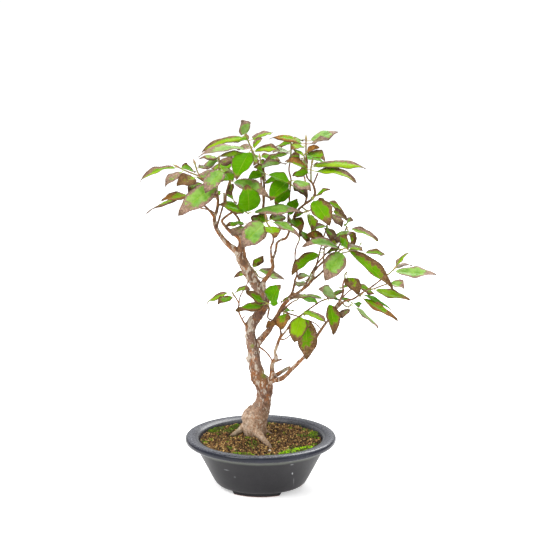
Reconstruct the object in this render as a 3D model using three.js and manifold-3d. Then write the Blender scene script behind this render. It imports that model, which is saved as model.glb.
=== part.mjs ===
// A stewartia bonsai, about 365 mm tall, in a round glazed pot on three low feet.
// Millimetres, +Z up, the front of the tree faces -Y. The whole model stands on Z = 0, centred on its box.

import * as THREE from "three";
import { mergeVertices } from "three/addons/utils/BufferGeometryUtils.js";
import Module from "manifold-3d";

const wasm = await Module();
wasm.setup();

// Driving dimensions of the pot
const POT = {
  rimRadius: 75.3,
  mouthRadius: 61.4,
  height: 51.8,
  lipDepth: 7.5,
  wall: 6,
  neckRadius: 67.6,
  baseRadius: 42,
  footHeight: 2.8,
  footRadius: 41,
  footWidth: 8,
  footSpan: 77,
  footTurn: -96.5,
  floor: 5.5,
  drainRadius: 8,
  facets: 28,
};
const SCREEN = { side: 26, thickness: 1, bars: 3, bar: 2.4 };
const SOIL = { rim: 46.6, mound: 5.6, moundRadius: 18, grain: 0.7, rings: 3, facets: 22, trunk: [-6, 9] };

// Driving dimensions of the foliage
const BLADE = { thickness: 0.7, arch: 0.05, fold: 16, tooth: 0.06, wave: 0.05, long: 50, short: 33 };
const PETIOLE = { halfWidth: 0.45, rootHalfWidth: 0.28, rootThickness: 0.6, length: 2.4 };
const STEM = { start: 0.85, end: 0.72, sides: 4, bud: 1.1 };
const GAP = 0.35;

// The front view, from which the places of branches and leaves are read: where the eye stands (beside, away
// from and above the pot's foot), how far it looks down, and the middle of the view.
const VIEW = { side: 5.8, away: 1650, height: 548, tilt: 11.16, scale: 1720, middle: [5.5, 217.5] };

const COLOURS = {
  glaze: 0x4a4c52,
  screen: 0x22262a,
  soil: 0x5e452c,
  moss: 0x5b8c14,
  bark: 0x8e6a52,
  leaf: 0x5f9a2a,
};

const degrees = THREE.MathUtils.degToRad;
const tilt = degrees(VIEW.tilt);

// A point of the front view (millimetres across and up from the middle of the pot's foot) as a point in
// space, a given distance behind the pot's axis.
function spot([across, up, behind]) {
  const right = across - VIEW.middle[0];
  const rise = up - VIEW.middle[1];
  const forward = VIEW.scale * Math.cos(tilt) + rise * Math.sin(tilt);
  const lift = rise * Math.cos(tilt) - VIEW.scale * Math.sin(tilt);
  const reach = (VIEW.away + behind) / forward;
  return new THREE.Vector3(VIEW.side + right * reach, behind, VIEW.height + lift * reach);
}

// Random numbers from 0 to 1 that are the same on every run
function seeded(seed) {
  let state = seed;
  return () => {
    state = (state * 1664525 + 1013904223) % 4294967296;
    return state / 4294967296;
  };
}

// Closed solids

function solid(vertices, triangles) {
  const mesh = new wasm.Mesh({
    numProp: 3,
    vertProperties: Float32Array.from(vertices),
    triVerts: Uint32Array.from(triangles),
  });
  return new wasm.Manifold(mesh);
}

function solidOf(geometry) {
  const bare = geometry.index ? geometry.toNonIndexed() : geometry.clone();
  bare.deleteAttribute("normal");
  bare.deleteAttribute("uv");
  const merged = mergeVertices(bare, 1e-4);
  const index = merged.index.array;
  const kept = [];
  for (let i = 0; i < index.length; i += 3) {
    const [a, b, c] = index.slice(i, i + 3);
    if (a !== b && b !== c && c !== a) kept.push(a, b, c);
  }
  return solid(merged.attributes.position.array, kept);
}

const joined = (solids) => solids.reduce((whole, piece) => whole.add(piece));

// A ring-shaped or full turned body from its [radius, height] outline, drawn anticlockwise
function turned(outline, facets) {
  const points = outline.map(([radius, height]) => new THREE.Vector2(radius, height));
  const lathe = new THREE.LatheGeometry(points, facets);
  lathe.rotateX(Math.PI / 2);
  return lathe;
}

// The rings of a tube along a smooth curve through its places: centres, directions and radii
function ringsAlong(places, radii, density = 1) {
  const curve = new THREE.CatmullRomCurve3(places, false, "centripetal");
  const spans = places.length - 1;
  const count = Math.max(Math.min(spans, 2), Math.round(spans * density));
  return Array.from({ length: count + 1 }, (_, ring) => {
    const reached = (ring / count) * spans;
    const before = Math.min(Math.floor(reached), spans - 1);
    return {
      centre: curve.getPoint(ring / count),
      along: curve.getTangent(ring / count),
      radius: THREE.MathUtils.lerp(radii[before], radii[before + 1], reached - before),
    };
  });
}

// A tapering tube through its rings, with flat ends
function tube(places, radii, sides, { density = 1, relief = () => 1 } = {}) {
  const rings = ringsAlong(places, radii, density);
  const vertices = [];
  const triangles = [];
  const side = new THREE.Vector3(1, 0.3, 0.2);
  for (const { centre, along, radius } of rings) {
    side.addScaledVector(along, -side.dot(along)).normalize();
    const across = along.clone().cross(side);
    for (let k = 0; k < sides; k++) {
      const angle = (2 * Math.PI * k) / sides;
      const reach = radius * relief(angle, centre);
      const point = centre.clone().addScaledVector(side, reach * Math.cos(angle));
      point.addScaledVector(across, reach * Math.sin(angle));
      vertices.push(...point);
    }
  }
  const last = (rings.length - 1) * sides;
  for (let ring = 0; ring < last; ring += sides) {
    for (let k = 0; k < sides; k++) {
      const next = (k + 1) % sides;
      triangles.push(ring + k, ring + next, ring + sides + next);
      triangles.push(ring + k, ring + sides + next, ring + sides + k);
    }
  }
  for (let k = 1; k < sides - 1; k++) {
    triangles.push(0, k + 1, k);
    triangles.push(last, last + k, last + k + 1);
  }
  return solid(vertices, triangles);
}

// The pot: a flared wall under a rolled lip, a drainage hole, and three arc feet

const wallSlope = (POT.neckRadius - POT.baseRadius - 4) / (POT.height - POT.lipDepth - 10);
const wallAt = (height) => POT.baseRadius + 4 + (height - 7) * wallSlope;
const floorTop = POT.footHeight + POT.floor;

function makePot() {
  const { rimRadius, mouthRadius, height, lipDepth, footHeight, baseRadius, wall, drainRadius } = POT;
  const under = height - lipDepth;
  const outline = [
    [drainRadius, footHeight],
    [baseRadius - 4, footHeight],
    [baseRadius + 0.6, footHeight + 0.5],
    [baseRadius + 2.9, footHeight + 2.1],
    [wallAt(7), 7],
    [wallAt(under - 3), under - 3],
    [wallAt(under - 3) + 0.7, under - 0.6],
    [rimRadius - 3.6, under],
    [rimRadius - 0.9, under + 1.6],
    [rimRadius, height - 4],
    [rimRadius - 0.8, height - 1.2],
    [rimRadius - 3, height],
    [mouthRadius + 2, height - 1.2],
    [mouthRadius, height - 3.6],
    [mouthRadius + 0.5, under],
    [wallAt(24) - wall, 24],
    [wallAt(floorTop + 1.5) - wall, floorTop + 1.5],
    [wallAt(floorTop) - wall - 3, floorTop],
    [drainRadius, floorTop],
    [drainRadius, footHeight],
  ];
  const body = solidOf(turned(outline, POT.facets));
  const feet = [0, 120, 240].map((turn) => makeFoot(POT.footTurn + turn));
  return joined([body, ...feet]);
}

// One foot: an arc-shaped block that runs up into the base
function makeFoot(middle) {
  const from = degrees(middle - POT.footSpan / 2);
  const to = degrees(middle + POT.footSpan / 2);
  const outline = new THREE.Shape();
  outline.absarc(0, 0, POT.footRadius, from, to, false);
  outline.absarc(0, 0, POT.footRadius - POT.footWidth, to, from, true);
  outline.closePath();
  const rise = POT.footHeight + 2;
  return solidOf(new THREE.ExtrudeGeometry(outline, { depth: rise, bevelEnabled: false, curveSegments: 5 }));
}

// The square of plastic mesh over the drainage hole: bars both ways, the crosswise ones a little thinner
function makeScreen() {
  const { side, thickness, bars, bar } = SCREEN;
  const pieces = [];
  for (let k = 0; k < bars; k++) {
    const off = (k / (bars - 1) - 0.5) * (side - bar);
    const lengthwise = new THREE.BoxGeometry(side, bar, thickness);
    lengthwise.translate(0, off, floorTop + GAP + thickness / 2);
    const crosswise = new THREE.BoxGeometry(bar, side - 0.2, thickness * 0.8);
    crosswise.translate(off, 0, floorTop + GAP + thickness / 2);
    pieces.push(solidOf(lengthwise), solidOf(crosswise));
  }
  return joined(pieces);
}

// The soil: how high its surface stands, and its body with beds for the trunk and roots

function soilHeight(x, y) {
  const away = Math.hypot(x - SOIL.trunk[0], y - SOIL.trunk[1]);
  const mound = SOIL.mound * Math.exp(-((away / SOIL.moundRadius) ** 2));
  const swell = 0.5 * Math.sin(x * 0.17 + 1.2) * Math.cos(y * 0.21 - 0.4);
  return SOIL.rim + mound + swell;
}

function makeSoil(roots) {
  const clear = GAP;
  const recess = SCREEN.side * 0.72;
  const top = POT.mouthRadius - clear;
  const side = (height) => wallAt(height) - POT.wall - clear;
  const outline = [
    [0, floorTop + SCREEN.thickness + 2 * GAP],
    [recess, floorTop + SCREEN.thickness + 2 * GAP],
    [recess + 1.5, floorTop + clear],
    [side(floorTop) - 3.4, floorTop + clear],
    [side(floorTop + 1.5) - 0.3, floorTop + 1.5 + clear],
    [side(24), 24],
    [top + 0.2, POT.height - POT.lipDepth - 0.4],
    [top - 0.3, SOIL.rim],
  ];
  for (let ring = SOIL.rings; ring >= 0; ring--) outline.push([((top - 1.5) * ring) / SOIL.rings, SOIL.rim]);
  const body = turned(outline, SOIL.facets);
  const place = body.attributes.position;
  const grain = seeded(41);
  const heights = new Map();
  for (let i = 0; i < place.count; i++) {
    const [x, y, z] = [place.getX(i), place.getY(i), place.getZ(i)];
    if (Math.abs(z - SOIL.rim) > 0.01 || Math.hypot(x, y) > top - 1) continue;
    const key = `${Math.round(x * 100)},${Math.round(y * 100)}`;
    if (!heights.has(key)) heights.set(key, soilHeight(x, y) + SOIL.grain * (grain() - 0.5) * 2);
    place.setZ(i, heights.get(key));
  }
  return roots.reduce((soil, root) => soil.subtract(root), solidOf(body));
}

// Moss cushions that lie on the soil: middle, half lengths, turn and thickness
const MOSS = [
  { name: "moss_front_right", at: [33, -43], size: [21, 5], turn: 38, thick: 2.4 },
  { name: "moss_right", at: [53, 12], size: [9, 4.5], turn: 82, thick: 2.2 },
  { name: "moss_left", at: [-45, 30], size: [12, 4.5], turn: 50, thick: 1.8 },
  { name: "moss_front_left", at: [-17, -53], size: [10, 3.4], turn: -14, thick: 1.6 },
  { name: "moss_trunk_back", at: [-24, 36], size: [8, 5.5], turn: -20, thick: 3 },
];

function makeMoss({ at, size, turn, thick }, soil, seed) {
  const dome = new THREE.IcosahedronGeometry(1, 1);
  const bump = seeded(seed);
  const lumps = Array.from({ length: 5 }, () => bump() * 2 * Math.PI);
  const place = dome.attributes.position;
  for (let i = 0; i < place.count; i++) {
    const point = new THREE.Vector3().fromBufferAttribute(place, i);
    const around = Math.atan2(point.y, point.x);
    const reach = 1 + 0.12 * Math.sin(3 * around + lumps[0]) + 0.08 * Math.sin(7 * around + lumps[1]);
    const lift = 1 + 0.22 * Math.sin(6 * point.x + lumps[2]) * Math.sin(5 * point.y + lumps[3]);
    place.setXYZ(i, point.x * size[0] * reach, point.y * size[1] * reach, point.z * thick * lift);
  }
  dome.rotateZ(degrees(turn));
  dome.translate(at[0], at[1], soilHeight(...at) + 0.6 - GAP);
  return solidOf(dome).subtract(soil);
}

// The wood. Each row of a path is [across, up, behind, radius] in the front view, and each branch starts
// inside the wood that carries it.

const TRUNK = [
  [-6, 38, 9, 10],
  [-6, 50, 9, 11.4],
  [-6, 58, 8.5, 11.6],
  [-5, 66, 8, 10.9],
  [-1, 74, 8, 9.6],
  [1.5, 80, 8, 8.1],
  [3, 86, 7.5, 7.6],
  [4, 94, 7, 7.9],
  [2.8, 100, 6.5, 8.5],
  [-2.2, 106, 6, 7.5],
  [-4.5, 114, 5, 6.9],
  [-6.6, 124, 4, 6],
  [-7.8, 134, 3, 5.7],
  [-10, 144, 2.5, 5.3],
  [-10.6, 154, 3, 5.2],
  [-8.4, 162, 4, 5.5],
  [-3.2, 168, 5, 5.4],
  [1, 174, 6, 5],
  [4, 180, 6, 4.3],
  [2, 187, 5, 4.5],
  [-2, 194, 4, 4.9],
  [-7.4, 203, 2, 5.3],
  [-12, 211, 0, 5.3],
  [-16.4, 219, -1, 5.2],
  [-20, 226, -2, 5],
  [-24, 234, -2, 4],
];

const BRANCHES = {
  left_main: [
    [-22.5, 232, -2, 3.6], [-31, 238, -4, 2.7], [-37, 244, -6, 2.4], [-42, 251, -8, 2.2],
    [-45.4, 258, -8, 2.1], [-46.6, 266, -6, 1.9], [-44, 274, -4, 1.6], [-43, 284, -2, 1.4],
    [-44, 294, 0, 1.2], [-43, 304, 8, 1], [-42, 313, 16, 0.8],
  ],
  left_outer: [[-43, 284, -2, 1.3], [-49, 294, -3, 1.1], [-56, 303, -4, 1], [-63, 308.5, -5, 0.8]],
  left_low: [[-46, 266, -6, 1.4], [-53, 275, -8, 1.1], [-60, 281, -10, 0.9], [-65, 286, -11, 0.8]],
  left_bare: [[-45, 270, -5, 1], [-52, 274, 2, 0.8], [-61, 276, 9, 0.6]],
  left_back: [
    [-44, 258, -8, 1.3], [-41, 268, 6, 1], [-37, 282, 20, 0.9], [-33, 298, 32, 0.8], [-30, 308, 40, 0.7],
  ],
  left_cross: [
    [-21, 233, -2, 3], [-21, 244, -5, 2], [-31, 253, -9, 1.8], [-36, 258, -10, 1.6], [-39, 263, -11, 1.4],
    [-33, 269, -12, 1.1], [-26, 273, -14, 1], [-21, 275, -15, 0.8],
  ],
  left_inner: [
    [-21, 244, -5, 1.6], [-20, 254, -7, 1.3], [-22, 264, -8, 1.2], [-27, 271, -8, 1.1], [-34, 278, -9, 1],
    [-35, 288, -11, 0.9], [-32, 296, -12, 0.8],
  ],
  leader: [
    [-17, 226, -2, 3], [-18, 237, -5, 1.9], [-14, 240, -6, 1.8], [-11, 243, -6, 1.7], [-6, 251, -6, 1.6],
    [-2, 260, -5, 1.5], [1, 270, -3, 1.4], [3, 285, -1, 1.3], [3, 300, 0, 1.1], [1, 309, 0, 1],
    [-1, 317, 0, 0.9], [-5, 326, 0, 0.8],
  ],
  leader_back: [
    [-2, 260, -5, 1.3], [2, 272, 8, 1], [2, 288, 24, 0.9], [0, 304, 36, 0.8], [0, 314, 44, 0.7],
  ],
  upper_right: [
    [1, 190, 5, 3.2], [3, 203, 3, 2.5], [7, 208, 2, 2.3], [10, 213, 1, 2.2], [12, 218, 0, 2],
    [11, 224, 0, 1.9], [13, 228, 2, 1.5], [15, 234, 3, 1.4], [16, 241, 3, 1.3], [20, 244, 2, 1.4],
    [25, 246, 1, 1.4], [28, 252, 1, 1.3], [31, 261, 1, 1.2], [34, 270, 1, 1.1], [38, 275, 1, 1.1],
    [44, 280, 1, 1.2], [51, 285, 1, 1.3], [54, 290, 1, 1.3], [53, 297, 0, 1.1], [50, 303, -1, 0.8],
  ],
  front_centre: [
    [11, 224, 0, 1.6], [10, 231, -3, 1.2], [10, 237, -7, 1.1], [12, 242, -12, 1], [12, 248, -18, 0.9],
    [9, 256, -24, 0.8],
  ],
  crown_stub: [[52, 299, 0, 0.9], [57, 311, 3, 0.6]],
  crown_right: [[52, 300, 1, 0.9], [46, 307, 4, 0.8], [46, 319, 9, 0.8], [45, 329, 14, 0.7]],
  crown_centre: [
    [28, 252, 1, 1.2], [27, 264, 4, 1], [28, 279, 7, 0.9], [29, 294, 10, 0.9], [30, 304, 14, 0.8],
    [28, 314, 19, 0.8], [29, 322, 24, 0.7],
  ],
  crown_right_back: [[44, 280, 1, 1.1], [46, 290, 16, 0.9], [44, 304, 30, 0.8], [41, 316, 42, 0.7]],
  right_back: [[34, 270, 1, 1], [44, 272, 16, 0.9], [54, 276, 30, 0.8], [60, 279, 38, 0.7]],
  first_right: [
    [-7, 136, 3, 4], [1, 146, 2, 3.1], [7, 153, 1, 3], [12, 161, 0, 2.7], [17, 169, -1, 2.4],
    [20, 175, -1, 2.2], [25, 182, -1, 2], [34, 189, -3, 1.7], [42, 195, -4, 1.5], [48, 200, -5, 1.5],
    [52, 206, -6, 1.5], [53, 212, -7, 1.3], [55, 215, -7, 1.2], [62, 222, -9, 1.1], [71, 229, -12, 1],
    [77, 232, -14, 0.8],
  ],
  thin_upright: [
    [26, 183, -1, 1.6], [31, 191, 2, 1.3], [33, 198, 5, 1.2], [34, 204, 8, 1.1], [36, 209, 9, 1],
    [35, 218, 11, 0.9], [34, 227, 12, 0.8], [35, 236, 13, 0.8], [38, 243, 12, 0.7],
  ],
  far_upper: [
    [53, 205, -6, 1.2], [60, 211, 0, 1], [65, 217, 5, 0.9], [72, 228, 8, 0.9], [78, 238, 10, 0.8],
    [82, 247, 11, 0.7],
  ],
  far_inner: [
    [54, 214, -7, 1], [57, 225, 0, 0.9], [60, 237, 6, 0.8], [63, 248, 10, 0.8], [66, 258, 13, 0.7],
    [68, 266, 15, 0.7],
  ],
  low_back: [
    [42, 195, -4, 1.3], [48, 206, 10, 1], [56, 220, 24, 0.9], [66, 231, 36, 0.8], [71, 236, 41, 0.7],
  ],
  first_stub: [[7, 154, 1, 1.2], [9, 161, -4, 0.8], [14, 163, -7, 0.5]],
  dark_stub: [[3, 177, 5, 1.4], [8, 176, -4, 1], [7, 166, -8, 0.8], [11, 164, -9, 0.6]],
  inner_back: [[17, 169, -1, 1.3], [24, 176, 12, 1], [30, 181, 24, 0.8], [33, 183, 30, 0.7]],
  second_right: [
    [2, 99, 6, 4.4], [7, 100, 4, 3.4], [11, 108, 2, 2.9], [11, 117, 1, 2.3], [12, 122, 0, 2.1],
    [15, 126, -1, 2], [14, 132, -2, 1.6], [16, 138, -3, 1.7], [18, 144, -4, 1.5], [20, 150, -5, 1.2],
    [19, 155, -5, 0.8],
  ],
  second_fork: [
    [18, 145, -4, 1.3], [25, 153, -8, 1.1], [31, 162, -11, 1], [39, 168, -13, 0.9], [47, 174, -14, 0.9],
    [54, 179, -14, 0.8], [60, 183, -14, 0.7],
  ],
  second_bare: [[18, 145, -4, 1], [24, 145, 2, 0.7], [30, 150, 8, 0.5]],
  short_stub: [[13, 122, 0, 1.3], [21, 125, -3, 0.9]],
  thick_stub: [[9, 105, 3, 2.3], [22, 113, 8, 2], [29, 117, 12, 1.6]],
  low_branch: [
    [3, 100, 6, 3.4], [10, 103, 3, 2.7], [19, 105, 0, 2.5], [24, 108, -2, 2.3], [29, 113, -4, 2.1],
    [39, 123, -6, 1.9], [45, 129, -7, 1.8], [50, 138, -8, 1.6], [56, 148, -9, 1.5], [62, 157, -9, 1.5],
    [69, 166, -10, 1.4], [75, 176, -10, 1.3], [79, 184, -10, 1.2], [82, 191, -11, 1.1],
    [82, 200, -12, 0.9], [84, 206, -13, 0.8],
  ],
  low_outer: [
    [75, 175, -10, 1.3], [84, 183, -9, 1.1], [92, 185, -8, 1], [101, 191, -7, 1], [109, 196, -5, 0.9],
    [117, 202, -3, 0.8], [126, 209, 0, 0.7],
  ],
  low_far_back: [[69, 166, -10, 1.2], [74, 177, 4, 0.9], [82, 187, 18, 0.8], [88, 193, 28, 0.7]],
  arched_twig: [[-3, 138, 3, 1], [5, 132, -3, 0.8], [9, 127, -4, 0.8], [12, 121, -1, 0.8]],
  drooping_twig: [
    [20, 174, -1, 1.2], [29, 170, -5, 0.8], [36, 168, -5, 0.8], [42, 165, -6, 0.7], [49, 163, -6, 0.7],
    [55, 160, -6, 0.6], [60, 155, -5, 0.5],
  ],
  trunk_spur: [
    [-10, 151, 3, 1.6], [-18, 163, -2, 0.9], [-21, 169, -4, 0.9], [-23, 175, -6, 0.8],
    [-22, 180, -7, 0.8], [-25, 186, -8, 0.7],
  ],
  spur_side: [[-19, 165, -2, 0.8], [-15, 169, -7, 0.5]],
  spur_upright: [
    [-22, 180, -7, 0.7], [-21, 187, -8, 0.6], [-18, 193, -9, 0.6], [-16, 196, -10, 0.6],
    [-12, 204, -9, 0.5],
  ],
  knob_left: [[-7, 123, 4, 4.4], [-12, 125, 2, 3], [-14.5, 126, 1, 1.6]],
  knob_right: [[-3, 111, 5, 4.8], [0.4, 112.4, 2, 3.4], [1.6, 113, 0.5, 2]],
  flare_left: [[-6, 74, 9, 7], [-13, 67, 7, 6.4], [-12.5, 59, 6, 4.6], [-11, 51, 6, 4.2]],
};

// Surface roots: [x, y, height over the soil, radius]
const ROOTS = {
  root_front_right: [
    [-7, 4, 7, 6.4], [-5, 1, 3.6, 5], [0, -5, 1.6, 3.9], [4, -12, 0.9, 3.1], [8, -22, 0.3, 2.3],
    [10.5, -28, -1.2, 1.6], [12, -32, -2.6, 1],
  ],
  root_left: [
    [-12, 9, 9, 4], [-16.5, 8.5, 7.4, 3.4], [-20.5, 8, 4.6, 3], [-24, 8, 2.4, 2.5], [-28, 8.5, 0.6, 1.9],
    [-32, 9, -1.6, 1.1],
  ],
  root_right: [[-1, 9, 3, 5.4], [5, 12, 0, 3.2], [10, 15, -1.6, 2], [15, 18, -3, 1.2]],
  root_back: [[-6, 14, 4, 7], [-7, 24, 0.4, 3.8], [-4, 34, -0.8, 2.3], [1, 43, -2.8, 1.2]],
};

// Bark swells and hollows that run up the trunk
const barkRelief = (angle, at) =>
  1 + 0.05 * Math.sin(3 * angle + 0.09 * at.z) + 0.045 * Math.sin(2 * angle - 0.13 * at.z + 1.1);

// Thicker branches get more sides, and rings closer together
const branchSides = ([[, , , radius]]) => (radius > 2.2 ? 6 : radius > 1.4 ? 5 : 4);
const branchDensity = ([[, , , radius]]) => (radius > 1.4 ? 0.7 : 0.5);

const onSoil = ([x, y, rise]) => new THREE.Vector3(x, y, soilHeight(x, y) + rise);
const radiiOf = (path, extra = 0) => path.map((row) => row[3] + extra);

function makeTree() {
  const trunk = tube(TRUNK.map(spot), radiiOf(TRUNK), 8, { relief: barkRelief, density: 0.8 });
  const branches = Object.values(BRANCHES).map((path) => {
    return tube(path.map(spot), radiiOf(path), branchSides(path), { density: branchDensity(path) });
  });
  const roots = Object.values(ROOTS).map((path) => tube(path.map(onSoil), radiiOf(path), 5));
  return joined([trunk, ...roots, ...branches]);
}

// The room that the wood takes in the soil
function makeRootBeds() {
  const lower = TRUNK.slice(0, 4).map((row) => [...row.slice(0, 3), row[3] * 1.1 + GAP]);
  lower[0][1] -= 1;
  const trunk = tube(lower.map(spot), radiiOf(lower), 10);
  const flare = BRANCHES.flare_left.slice(1);
  const side = tube([...flare.map(spot), spot([-16, 49, 6])], [...radiiOf(flare, 0.8), 5.2], 8);
  const roots = Object.values(ROOTS).map((path) => {
    const places = path.map(onSoil);
    const end = places.at(-1);
    places.push(end.clone().add(end.clone().sub(places.at(-2)).setLength(0.6)));
    return tube(places, [...radiiOf(path, 0.6), path.at(-1)[3] + 0.6], 7);
  });
  return [trunk, side, ...roots];
}

// The foliage. A shoot stands on a branch (its name and how far along it, 1 being its end), and has its own
// stem. A leaf is [petiole's foot, tip, width, share of it that shows from the front, arch], with the places
// as in the wood.

const SHOOTS = [
  {
    name: "shoot_left_tip",
    on: ["left_outer", 1],
    stem: [[-70, 311, -5], [-77, 314, -5], [-83, 317, -5]],
    leaves: [
      [[-84, 317, -6], [-122, 303, -14], 15, 0.35, 0.09],
      [[-78, 313, -8], [-96, 298, -24], 13, 0.6],
      [[-80, 316, -2], [-66, 312, 20], 11, 0.45],
    ],
    bud: true,
  },
  {
    name: "shoot_left_bud",
    on: ["left_outer", 0.72],
    stem: [[-63, 311, 7], [-66, 320, 10]],
    leaves: [[[-64, 316, 10], [-52, 316, 20], 9, 0.4]],
    bud: true,
  },
  {
    name: "shoot_left_olive",
    on: ["left_outer", 0.55],
    stem: [[-58, 303, -13], [-64, 307, -20]],
    leaves: [
      [[-65, 307, -20], [-84, 299, -38], 15, 0.85],
      [[-57, 301, -14], [-72, 288, -30], 16, 0.75],
      [[-62, 306, -18], [-47, 314, -8], 12, 0.6],
    ],
  },
  {
    name: "shoot_left_low",
    on: ["left_low", 1],
    stem: [[-68, 288, -12], [-73, 289, -12]],
    leaves: [
      [[-71, 289, -14], [-100, 284, -24], 15, 0.5, 0.02],
      [[-75, 288, -10], [-116, 271, -2], 12, 0.2, 0.03],
    ],
  },
  {
    name: "shoot_left_front",
    on: ["left_main", 0.8],
    stem: [[-44, 296, -12], [-42, 305, -20], [-39, 313, -22]],
    leaves: [
      [[-44, 300, -24], [-83, 269, -46], 21, 0.9, 0.03],
      [[-38, 314, -24], [-56, 292, -42], 18, 0.85],
    ],
  },
  {
    name: "shoot_left_top",
    on: ["left_main", 1],
    stem: [[-42, 318, 20], [-42, 324, 23]],
    leaves: [
      [[-42, 323, 22], [-58, 317, 36], 15, 0.6],
      [[-41, 326, 24], [-62, 326, 16], 12, 0.3],
      [[-42, 319, 21], [-25, 326, 34], 16, 0.5],
      [[-41, 317, 17], [-28, 303, 4], 15, 0.75],
    ],
    bud: true,
  },
  {
    name: "shoot_left_inner",
    on: ["left_inner", 1],
    stem: [[-31, 300, -13], [-30, 304, -14]],
    leaves: [
      [[-30, 302, -14], [-37, 312, 4], 16, 0.9],
      [[-29, 303, -15], [9, 287, -25], 17, 0.75],
      [[-30, 301, -16], [-30, 289, -32], 10, 0.7],
    ],
  },
  {
    name: "shoot_front_left",
    on: ["left_cross", 1],
    stem: [[-17, 273, -17], [-12, 270, -18]],
    leaves: [
      [[-12, 271, -19], [-14, 299, -39], 23, 0.95],
      [[-15, 272, -17], [-42, 280, -32], 16, 0.55],
      [[-9, 272, -18], [42, 273, -26], 17, 0.5],
    ],
  },
  {
    name: "shoot_front_centre",
    on: ["front_centre", 1],
    stem: [[6, 261, -28], [5, 266, -29]],
    leaves: [
      [[4, 262, -30], [-19, 238, -46], 22, 0.98],
      [[9, 258, -31], [14, 247, -56], 16, 0.9],
      [[7, 261, -26], [-10, 268, -12], 15, 0.75],
      [[10, 263, -29], [40, 247, -34], 15, 0.45],
      [[8, 264, -26], [25, 268, -10], 13, 0.6],
    ],
    bud: true,
  },
  {
    name: "shoot_leader_low",
    on: ["leader", 0.27],
    stem: [[-12, 250, -12], [-14, 260, -15]],
    leaves: [
      [[-15, 261, -14], [-36, 258, -22], 12, 0.35],
      [[-16, 258, -17], [-29, 249, -36], 14, 0.7],
    ],
  },
  {
    name: "shoot_upright_tip",
    on: ["thin_upright", 1],
    stem: [[39, 249, 8], [38, 255, 4]],
    leaves: [[[39, 255, 2], [48, 240, -12], 12, 0.6]],
  },
  {
    name: "shoot_apex",
    on: ["leader", 1],
    stem: [[-9, 334, 2], [-12, 341, 4], [-15, 348, 5]],
    leaves: [
      [[-14, 350, 6], [-19, 363, -12], 14, 0.9],
      [[-17, 347, 4], [-60, 333, 0], 15, 0.4, 0.08],
      [[-10, 344, 8], [12, 352, 24], 13, 0.4],
      [[-13, 344, 8], [-26, 343, 30], 14, 0.4],
    ],
    bud: true,
  },
  {
    name: "shoot_apex_front",
    on: ["leader", 0.93],
    stem: [[-6, 326, -7], [-9, 333, -10], [-10, 338, -12]],
    leaves: [
      [[-11, 337, -12], [-24, 336, 4], 11, 0.4],
      [[-9, 336, -13], [1, 346, -22], 9, 0.6],
      [[-14, 335, -12], [-63, 328, -22], 15, 0.4, 0.08],
      [[-8, 333, -11], [19, 334, -20], 15, 0.45, 0.12],
      [[-11, 333, -14], [-25, 305, -34], 20, 0.9],
      [[-8, 330, -11], [-7, 319, -31], 9, 0.6],
      [[-10, 328, -6], [-45, 327, 4], 12, 0.4],
    ],
  },
  {
    name: "shoot_crown_right",
    on: ["crown_right", 1],
    stem: [[45, 335, 17], [45, 344, 20]],
    leaves: [
      [[43, 340, 20], [8, 346, 30], 13, 0.4, 0.1],
      [[48, 343, 22], [77, 353, 32], 15, 0.55],
      [[48, 340, 18], [67, 345, 2], 12, 0.35],
      [[43, 338, 16], [30, 335, 2], 11, 0.6],
    ],
    bud: true,
  },
  {
    name: "shoot_crown_centre",
    on: ["crown_centre", 1],
    stem: [[30, 332, 31], [30, 341, 36]],
    leaves: [
      [[29, 340, 37], [16, 338, 58], 13, 0.4],
      [[28, 333, 31], [12, 332, 12], 13, 0.5],
      [[31, 341, 38], [42, 344, 62], 13, 0.4],
      [[28, 331, 30], [2, 321, 34], 13, 0.4],
    ],
  },
  {
    name: "shoot_crown_small",
    on: ["crown_right", 0.66],
    stem: [[44, 323, 1], [43, 329, -3]],
    leaves: [
      [[42, 328, -2], [33, 335, 14], 8, 0.4],
      [[44, 330, -5], [64, 324, -20], 15, 0.5],
      [[44, 331, -3], [58, 337, -12], 9, 0.6],
    ],
  },
  {
    name: "shoot_right_long",
    on: ["upper_right", 1],
    stem: [[50, 309, -4], [50, 316, -6], [51, 321, -7]],
    leaves: [
      [[52, 319, -7], [105, 317, -16], 16, 0.4, 0.06],
      [[53, 313, -8], [96, 303, -26], 16, 0.45, 0.11],
      [[52, 317, -3], [66, 317, 16], 9, 0.4],
      [[48, 314, -6], [24, 323, -18], 14, 0.45],
      [[49, 311, -4], [31, 309, 6], 13, 0.6],
    ],
    bud: true,
  },
  {
    name: "shoot_crown_inner",
    on: ["crown_centre", 0.5],
    stem: [[29, 297, 0], [30, 303, -8]],
    leaves: [
      [[32, 304, -10], [50, 294, -28], 14, 0.65],
      [[31, 298, -4], [47, 291, 10], 14, 0.75],
      [[27, 303, -9], [9, 284, -24], 17, 0.85],
      [[29, 297, -3], [14, 279, -10], 16, 0.8],
      [[31, 299, -4], [47, 287, -12], 13, 0.5],
      [[28, 303, -5], [2, 300, 4], 13, 0.45],
    ],
  },
  {
    name: "shoot_leader_mid",
    on: ["leader", 0.76],
    stem: [[0, 308, 8], [-3, 314, 11]],
    leaves: [
      [[-2, 315, 12], [24, 321, 26], 12, 0.45],
      [[-4, 316, 12], [5, 304, 28], 13, 0.5],
    ],
  },
  {
    name: "shoot_leader_front",
    on: ["leader", 0.74],
    stem: [[4, 307, -8], [4, 311, -11]],
    leaves: [
      [[5, 310, -12], [30, 299, -22], 15, 0.5],
      [[3, 311, -12], [-7, 317, -22], 10, 0.6],
      [[3, 309, -8], [-14, 304, 4], 13, 0.6],
    ],
  },
  {
    name: "shoot_right_big",
    on: ["upper_right", 0.83],
    stem: [[51, 287, -9], [51, 286, -18]],
    leaves: [
      [[52, 285, -20], [69, 259, -36], 19, 0.95],
      [[53, 287, -18], [69, 295, -30], 9, 0.4],
    ],
  },
  {
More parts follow.
